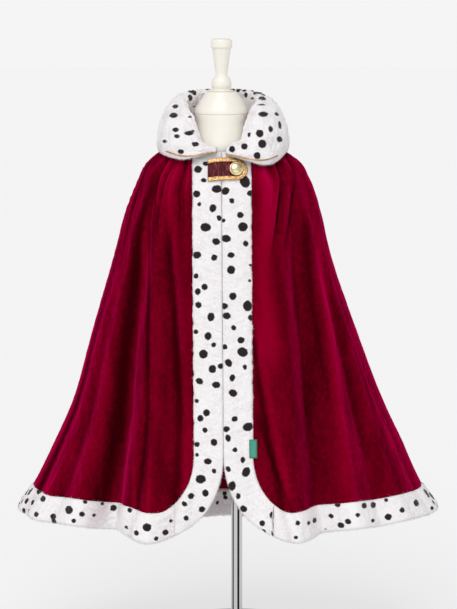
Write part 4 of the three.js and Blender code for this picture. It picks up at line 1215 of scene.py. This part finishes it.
def collar_beside(turn, across, out):
    """Points beside the collar's middle, moved out along its own direction."""
    normal = unit_normal(collar_point, turn, np.clip(across, 0.004, 0.996), 0.01, 0.004)
    return collar_point(turn, across) + normal * np.asarray(out, float)[..., None]


def collar_thick(turn):
    """Half of the collar's thickness at a turn, in millimetres."""
    return collar_at("thick", turn) * bpy.context.scene.cape_sizes.collar_wall / MM / 2


def collar_face(turn, across):
    """The collar's outer face without its lumps, where its spots lie."""
    return collar_beside(turn, across, collar_thick(turn))


def collar_lining(turn, across):
    """The collar's inner face without its lumps, where its spots lie."""
    return collar_beside(turn, across, -collar_thick(turn))


class CAPE_OT_collar(bpy.types.Operator):
    """Builds the rolled plush collar and its gold piping"""
    bl_idname = "cape.collar"
    bl_label = "Collar"

    def execute(self, context):
        columns, rows = 330, 90
        turn = np.linspace(COLLAR_TIP, TURN - COLLAR_TIP, columns)[None, :]
        across = np.linspace(0, 1, rows)[:, None]
        turn, across = np.broadcast_arrays(turn, across)
        rounding = np.clip(np.minimum(across / 0.13, (1 - across) / 0.1), 0, 1)
        half = collar_thick(turn) * (0.35 + 0.65 * np.sqrt(1 - (1 - rounding) ** 2))
        arc, down = turn * 100, across * COLLAR_ACROSS
        lump = context.scene.cape_sizes.lump / MM * 1.3
        bumps = lump * ripple(arc, down, (42, 20, 9), 71) * rounding
        outer = collar_beside(turn, across, half + bumps)
        bumps = 0.6 * lump * ripple(arc, down, (42, 20, 9), 72) * rounding
        inner = collar_beside(turn, across, -half - bumps)
        x, y, size = scattered(285, 0.6 * COLLAR_ACROSS, 17, 73)
        places = np.radians(100 + x * 0.5), 0.37 + y / COLLAR_ACROSS
        seen = spots_on(collar_face, outer, *places, size, COLLAR_STEPS, 75)
        chart_turn, share, wide, high = (SPOTS_COLLAR[c] for c in "turn share wide high".split())
        charted = spots_seen(collar_face, outer, np.radians(chart_turn), share, wide, high)
        seen = np.minimum(seen, charted)
        x, y, size = scattered(560, COLLAR_ACROSS, 17, 77)
        places = np.radians(15 + x * 0.59), y / COLLAR_ACROSS
        hidden = spots_on(collar_lining, inner, *places, size, COLLAR_STEPS, 79)
        # Random tone, with painted shade deep in the collar by the neckline, darker towards its outer edge,
        # and painted shade on its lining.
        painted_neck_shade, at_edge = 1 - ease(across, 0.05, 0.3), ease(across, 0.9, 1)
        tone = 0.35 * ripple(arc, down, (60, 30), 82) - 1.2 * painted_neck_shade - 0.5 * at_edge
        values = {"spot": seen, "nap": tone}, {"spot": hidden, "nap": np.full_like(tone, -0.5)}
        collar = wall("plush_collar", outer, inner, *values)
        dress(collar, bpy.data.materials["spotted plush"], "plush", "collar")
        middle = (outer + inner) / 2
        borders = [(middle[-1], middle[-2], seen[-1])]
        hairs = fringe("plush_fringe_collar", borders, COLLAR_HAIR_LENGTH, HAIR_APART, 83)
        dress(hairs, bpy.data.materials["spotted plush"], "plush")
        piping = self.piping(context)
        dress(piping, gold_finish(context, "gold piping", 900), "gold_trim", "collar_piping")
        return {"FINISHED"}

    def piping(self, context):
        """Twisted piping just above the collar's edge: a tube whose radius has three strands that
        wind round it."""
        points, sides = 900, 12
        turn = np.linspace(COLLAR_TIP, TURN - COLLAR_TIP, points)
        across = mix(0.99, 0.955, ease(np.cos(turn), 0.2, 0.55))
        radius = context.scene.cape_sizes.piping_radius / MM
        front = ease(np.cos(turn), 0.3, 0.6)
        waver = 0.7 * ripple(turn * 110, 0, (30, 12), 81)
        away = mix(-0.6, 0.82, front) * collar_thick(turn) + 0.5 * radius + waver
        path = collar_beside(turn, across, away)
        up = unit_normal(collar_point, turn, across, 0.01, 0.004)
        along = unit(np.gradient(path, axis=0))
        up = unit(up - (up * along).sum(1, keepdims=True) * along)
        sideways = np.cross(up, along)
        run = run_along(path)
        angle = TURN * np.arange(sides) / sides
        twist = 1 + 0.16 * np.abs(np.sin(1.5 * angle[None, :] - run[:, None] * TURN / 9))
        return tube("gold_piping", path, sideways, up, radius * twist, sides)


def tab_place(across, above):
    """Turn and level of a place on the tab, across from the middle and above its slanted line."""
    return place_on_front(across, TAB_UP + above + TAB_SLOPE * (across - TAB_LEFT))


class CAPE_OT_closure(bpy.types.Operator):
    """Builds the satin tab, its gold braid, the button and the label"""
    bl_idname = "cape.closure"
    bl_label = "Closure and label"

    def execute(self, context):
        tab = self.tab()
        braid = self.braid(context)
        button = self.button(context)
        dress(tab, satin_finish(context), "satin", "closure_tab")
        dress(braid, gold_finish(context, "gold braid", 420), "gold_trim", "tab_braid")
        dress(button, button_finish(context), "button", "button")
        label = self.label()
        dress(label, label_finish(context), "label", "label")
        return {"FINISHED"}

    def tab(self):
        """The satin field: a wall over the trims whose half height follows the pointed end, with
        soft upright wrinkles."""
        columns, rows = 90, 46
        across = mix(TAB_LEFT, TAB_TIP - 2, np.linspace(0, 1, columns) ** 0.8)[None, :]
        tip = TAB_TIP - 0.52
        end = np.clip((across - TAB_STRAIGHT) / (tip - TAB_STRAIGHT), 0, 1)
        half_height = (TAB_HALF_HEIGHT - 0.4) * np.cos(end * math.pi / 2) ** 1.2
        above = np.linspace(1, -1, rows)[:, None] * half_height
        turn, level = tab_place(np.broadcast_to(across, above.shape), above)
        wrinkle = 0.7 * ripple(across, above * 0.15, (11, 5), 91)
        out = TAB_OUT + wrinkle * ease(TAB_HALF_HEIGHT - np.abs(above), 2, 9)
        return wall("satin_tab", cape_beside(turn, level, out + 1), cape_beside(turn, level, out - 1))

    def braid(self, context):
        """The braid: an outline of the tab inset by shares of its width, its face in three folds."""
        steps, columns = 240, 19
        width = context.scene.cape_sizes.braid_width / MM
        run = np.linspace(-1, 1, steps)[None, :]
        share = np.linspace(0, 1, columns)[:, None]
        inset = share * width
        tip = TAB_TIP - inset * 1.3
        at_tip = np.abs(run) < 0.5
        straight = np.clip((1 - np.abs(run)) / 0.5, 0, 1)
        bend = np.clip(1 - np.abs(run) / 0.5, 0, 1) * math.pi / 2
        rounded_end = TAB_STRAIGHT + (tip - TAB_STRAIGHT) * np.sin(bend)
        across = np.where(at_tip, rounded_end, mix(TAB_LEFT, TAB_STRAIGHT, straight))
        narrowed = np.where(at_tip, np.cos(bend) ** 1.2, 1.0)
        turn, level = tab_place(across, (TAB_HALF_HEIGHT - inset) * narrowed * -np.sign(run))
        ridges = 0.5 * np.abs(np.sin(share * math.pi * 3)) * (0.5 + 0.5 * share)
        rounded = 0.35 + 0.65 * (1 - np.abs(2 * share - 1) ** 6)
        base = TAB_OUT + 1.35
        outer = cape_beside(turn, level, base + (1.3 * rounded + ridges))
        inner = cape_beside(turn, level, base)
        return wall("gold_braid", outer, inner)

    def button(self, context):
        """The button: a rimmed dome turned about the cloth's own direction."""
        radius = context.scene.cape_sizes.button_radius / MM
        dome = [((radius - 2.2) * math.cos(a), 2.7 + 4.3 * math.sin(a)) for a in np.linspace(0.05, 1.5, 9)]
        rim = ((1.6, 0), (0.3, 0.5), (0, 1.3), (0.3, 2.2), (1.2, 2.8), (1.9, 2.6))
        profile = [(radius - inset, up) for inset, up in rim] + dome
        made = turned("dome_button", profile, 0, 0, 64, 4)
        turn, level = tab_place(np.array([BUTTON_ACROSS]), np.array([0.0]))
        foot = cape_beside(turn, level, np.array([TAB_OUT + 3.25]))[0]
        away = cape_beside(turn, level, np.array([TAB_OUT + 4.25]))[0] - foot
        sideways = np.cross(away, (0.0, 0.0, 1.0))
        sideways /= np.linalg.norm(sideways)
        axes = np.stack([sideways, np.cross(away, sideways), away])
        points = np.zeros(len(made.data.vertices) * 3, np.float32)
        made.data.vertices.foreach_get("co", points)
        points = points.reshape(-1, 3).astype(float) @ axes + foot * MM
        made.data.vertices.foreach_set("co", points.astype(np.float32).ravel())
        made.data.update()
        return made

    def label(self):
        """The label: a small flat wall from over the trim's edge down to the velvet."""
        columns, rows = 16, 30
        share = np.linspace(0, 1, columns)[None, :]
        up = np.linspace(1, 0, rows)[:, None]
        turn, level = place_on_front(LABEL_ACROSS + share * LABEL_WIDTH, LABEL_UP + up * LABEL_HEIGHT)
        out = mix(4.3, 2.1, share) + 0.4 * np.sin(up * math.pi) * share
        rim = np.minimum(np.minimum(share, 1 - share) * LABEL_WIDTH, np.minimum(up, 1 - up) * LABEL_HEIGHT)
        faces = (cape_beside(turn, level, out + half) for half in (0.5, -0.5))
        return wall("woven_label", *faces, {"rim": rim}, {"rim": rim})


class CAPE_OT_stand(bpy.types.Operator):
    """Builds the dress form, neck cap, finial, pole and base"""
    bl_idname = "cape.stand"
    bl_label = "Dress form and stand"

    def execute(self, context):
        cream = form_finish(context)
        chrome = tube_finish(context)
        plate = plate_finish(context)
        gap = SEAM_GAP
        cap_z = NECK_TOP + gap
        top = FORM_BOTTOM - BASE_HEIGHT - 2 * gap
        end = [(10.2, 0), (10.8, 0.3), (11, 1), (11, 3)]
        pole = end + [(radius, top - up) for radius, up in reversed(end)]
        dress(self.form(), cream, "form", "dress_form")
        dress(turned("neck_dome", NECK_CAP_PROFILE, NECK_X, cap_z), cream, "form", "neck_cap")
        finial = turned("turned_finial", FINIAL_PROFILE, NECK_X, cap_z + CAP_HEIGHT + gap)
        dress(finial, cream, "form", "finial")
        dress(turned("chrome_pole", pole, 0, BASE_HEIGHT + gap, 64, 3), chrome, "stand_metal", "pole")
        dress(turned("round_base", BASE_PROFILE, 0, 0, 160), plate, "stand_metal", "base")
        return {"FINISHED"}

    def form(self):
        """The form: ovals from its flat bottom over the shoulders to the neck, on a smooth curve
        through the table's rings."""
        count = len(FORM_RINGS["half"])
        rows = {"at": np.arange(count, dtype=float), **FORM_RINGS}
        at = np.linspace(0, count - 1, 120)[:, None]
        turn = -TURN * np.arange(128)[None, :] / 128
        value = {c: read(rows, "at", c, at) for c in FORM_RINGS}
        points = oval(value["half"], 0.0, value["side_z"], value["front"], value["front_z"], value["back"],
                      value["back_z"], turn, value["shift"])
        return revolved("form_shell", points[:, ::-1])


class CAPE_OT_stage(bpy.types.Operator):
    """Builds the floor, the lights, the world and the camera"""
    bl_idname = "cape.stage"
    bl_label = "Stage"

    def execute(self, context):
        corner = FLOOR_HALF * np.array([(-1, -1, 0), (1, -1, 0), (1, 1, 0), (-1, 1, 0)], float)
        floor = make_object("pale_floor", corner, np.array([[0, 1, 2, 3]]))
        floor.data.materials.append(floor_finish(context))
        self.sun("key", (-0.25, -0.85, 1.2), 1.6, 50)
        self.sun("front", (0.1, -1.0, 0.35), 0.45, 60)
        self.world(context)
        context.scene.view_settings.view_transform = "Standard"
        data = bpy.data.cameras.new("camera")
        data.lens, data.sensor_width, data.clip_end = CAMERA_LENS, SENSOR, 200
        camera = bpy.data.objects.new("camera", data)
        camera.location = (
            CAMERA_AIM[0],
            CAMERA_AIM[1] - CAMERA_AWAY * math.cos(CAMERA_UP),
            CAMERA_AIM[2] + CAMERA_AWAY * math.sin(CAMERA_UP),
        )
        camera.rotation_euler = (math.pi / 2 - CAMERA_UP, 0, 0)
        context.scene.collection.objects.link(camera)
        context.scene.camera = camera
        return {"FINISHED"}

    def sun(self, name, place, strength, spread):
        """An even light from one side, as soft as its spread in degrees."""
        data = bpy.data.lights.new(name, "SUN")
        data.energy, data.angle = strength, math.radians(spread)
        lamp = bpy.data.objects.new(name, data)
        lamp.location = place
        flat = math.hypot(place[0], place[1])
        lamp.rotation_euler = (math.atan2(flat, place[2]), 0, math.atan2(-place[0], place[1]) + math.pi)
        bpy.context.scene.collection.objects.link(lamp)

    def world(self, context):
        """A studio sky: as bright as the floor at the horizon, darker overhead."""
        world = bpy.data.worlds.new("studio")
        context.scene.world = world
        world.use_nodes = True
        nodes, links = world.node_tree.nodes, world.node_tree.links
        where, split = nodes.new("ShaderNodeTexCoord"), nodes.new("ShaderNodeSeparateXYZ")
        ramp = nodes.new("ShaderNodeMapRange")
        ramp.interpolation_type = "SMOOTHSTEP"
        for key, value in {"From Min": 0.05, "From Max": 0.5, "To Min": 0.913, "To Max": 0.42}.items():
            ramp.inputs[key].default_value = value
        links.new(where.outputs["Generated"], split.inputs[0])
        links.new(split.outputs["Z"], ramp.inputs["Value"])
        links.new(ramp.outputs[0], nodes["Background"].inputs["Strength"])
        nodes["Background"].inputs["Color"].default_value = (1, 1, 1, 1)


OPERATORS = (CAPE_OT_velvet, CAPE_OT_trims, CAPE_OT_collar, CAPE_OT_closure, CAPE_OT_stand, CAPE_OT_stage)


class CAPE_PT_panel(bpy.types.Panel):
    """Lists the pieces and their sizes and colours"""
    bl_idname = "CAPE_PT_panel"
    bl_label = "King costume cape"
    bl_space_type = "VIEW_3D"
    bl_region_type = "UI"
    bl_category = "Cape"

    def draw(self, context):
        for group in (context.scene.cape_sizes, context.scene.cape_colours):
            column = self.layout.column(align=True)
            for name in group.bl_rna.properties.keys():
                if name not in ("rna_type", "name"):
                    column.prop(group, name)
        for operator in OPERATORS:
            self.layout.operator(operator.bl_idname)


CLASSES = (CapeSizes, CapeColours, *OPERATORS, CAPE_PT_panel)


def register():
    """Registers the classes and puts the sizes and colours on the scene."""
    for one in CLASSES:
        bpy.utils.register_class(one)
    bpy.types.Scene.cape_sizes = bpy.props.PointerProperty(type=CapeSizes)
    bpy.types.Scene.cape_colours = bpy.props.PointerProperty(type=CapeColours)


def unregister():
    """Takes the sizes and colours off the scene and unregisters the classes."""
    del bpy.types.Scene.cape_sizes
    del bpy.types.Scene.cape_colours
    for one in reversed(CLASSES):
        bpy.utils.unregister_class(one)


def main():
    """Builds every piece and the stage."""
    register()
    for operator in OPERATORS:
        family, name = operator.bl_idname.split(".")
        getattr(getattr(bpy.ops, family), name)()


if __name__ == "__main__":
    main()
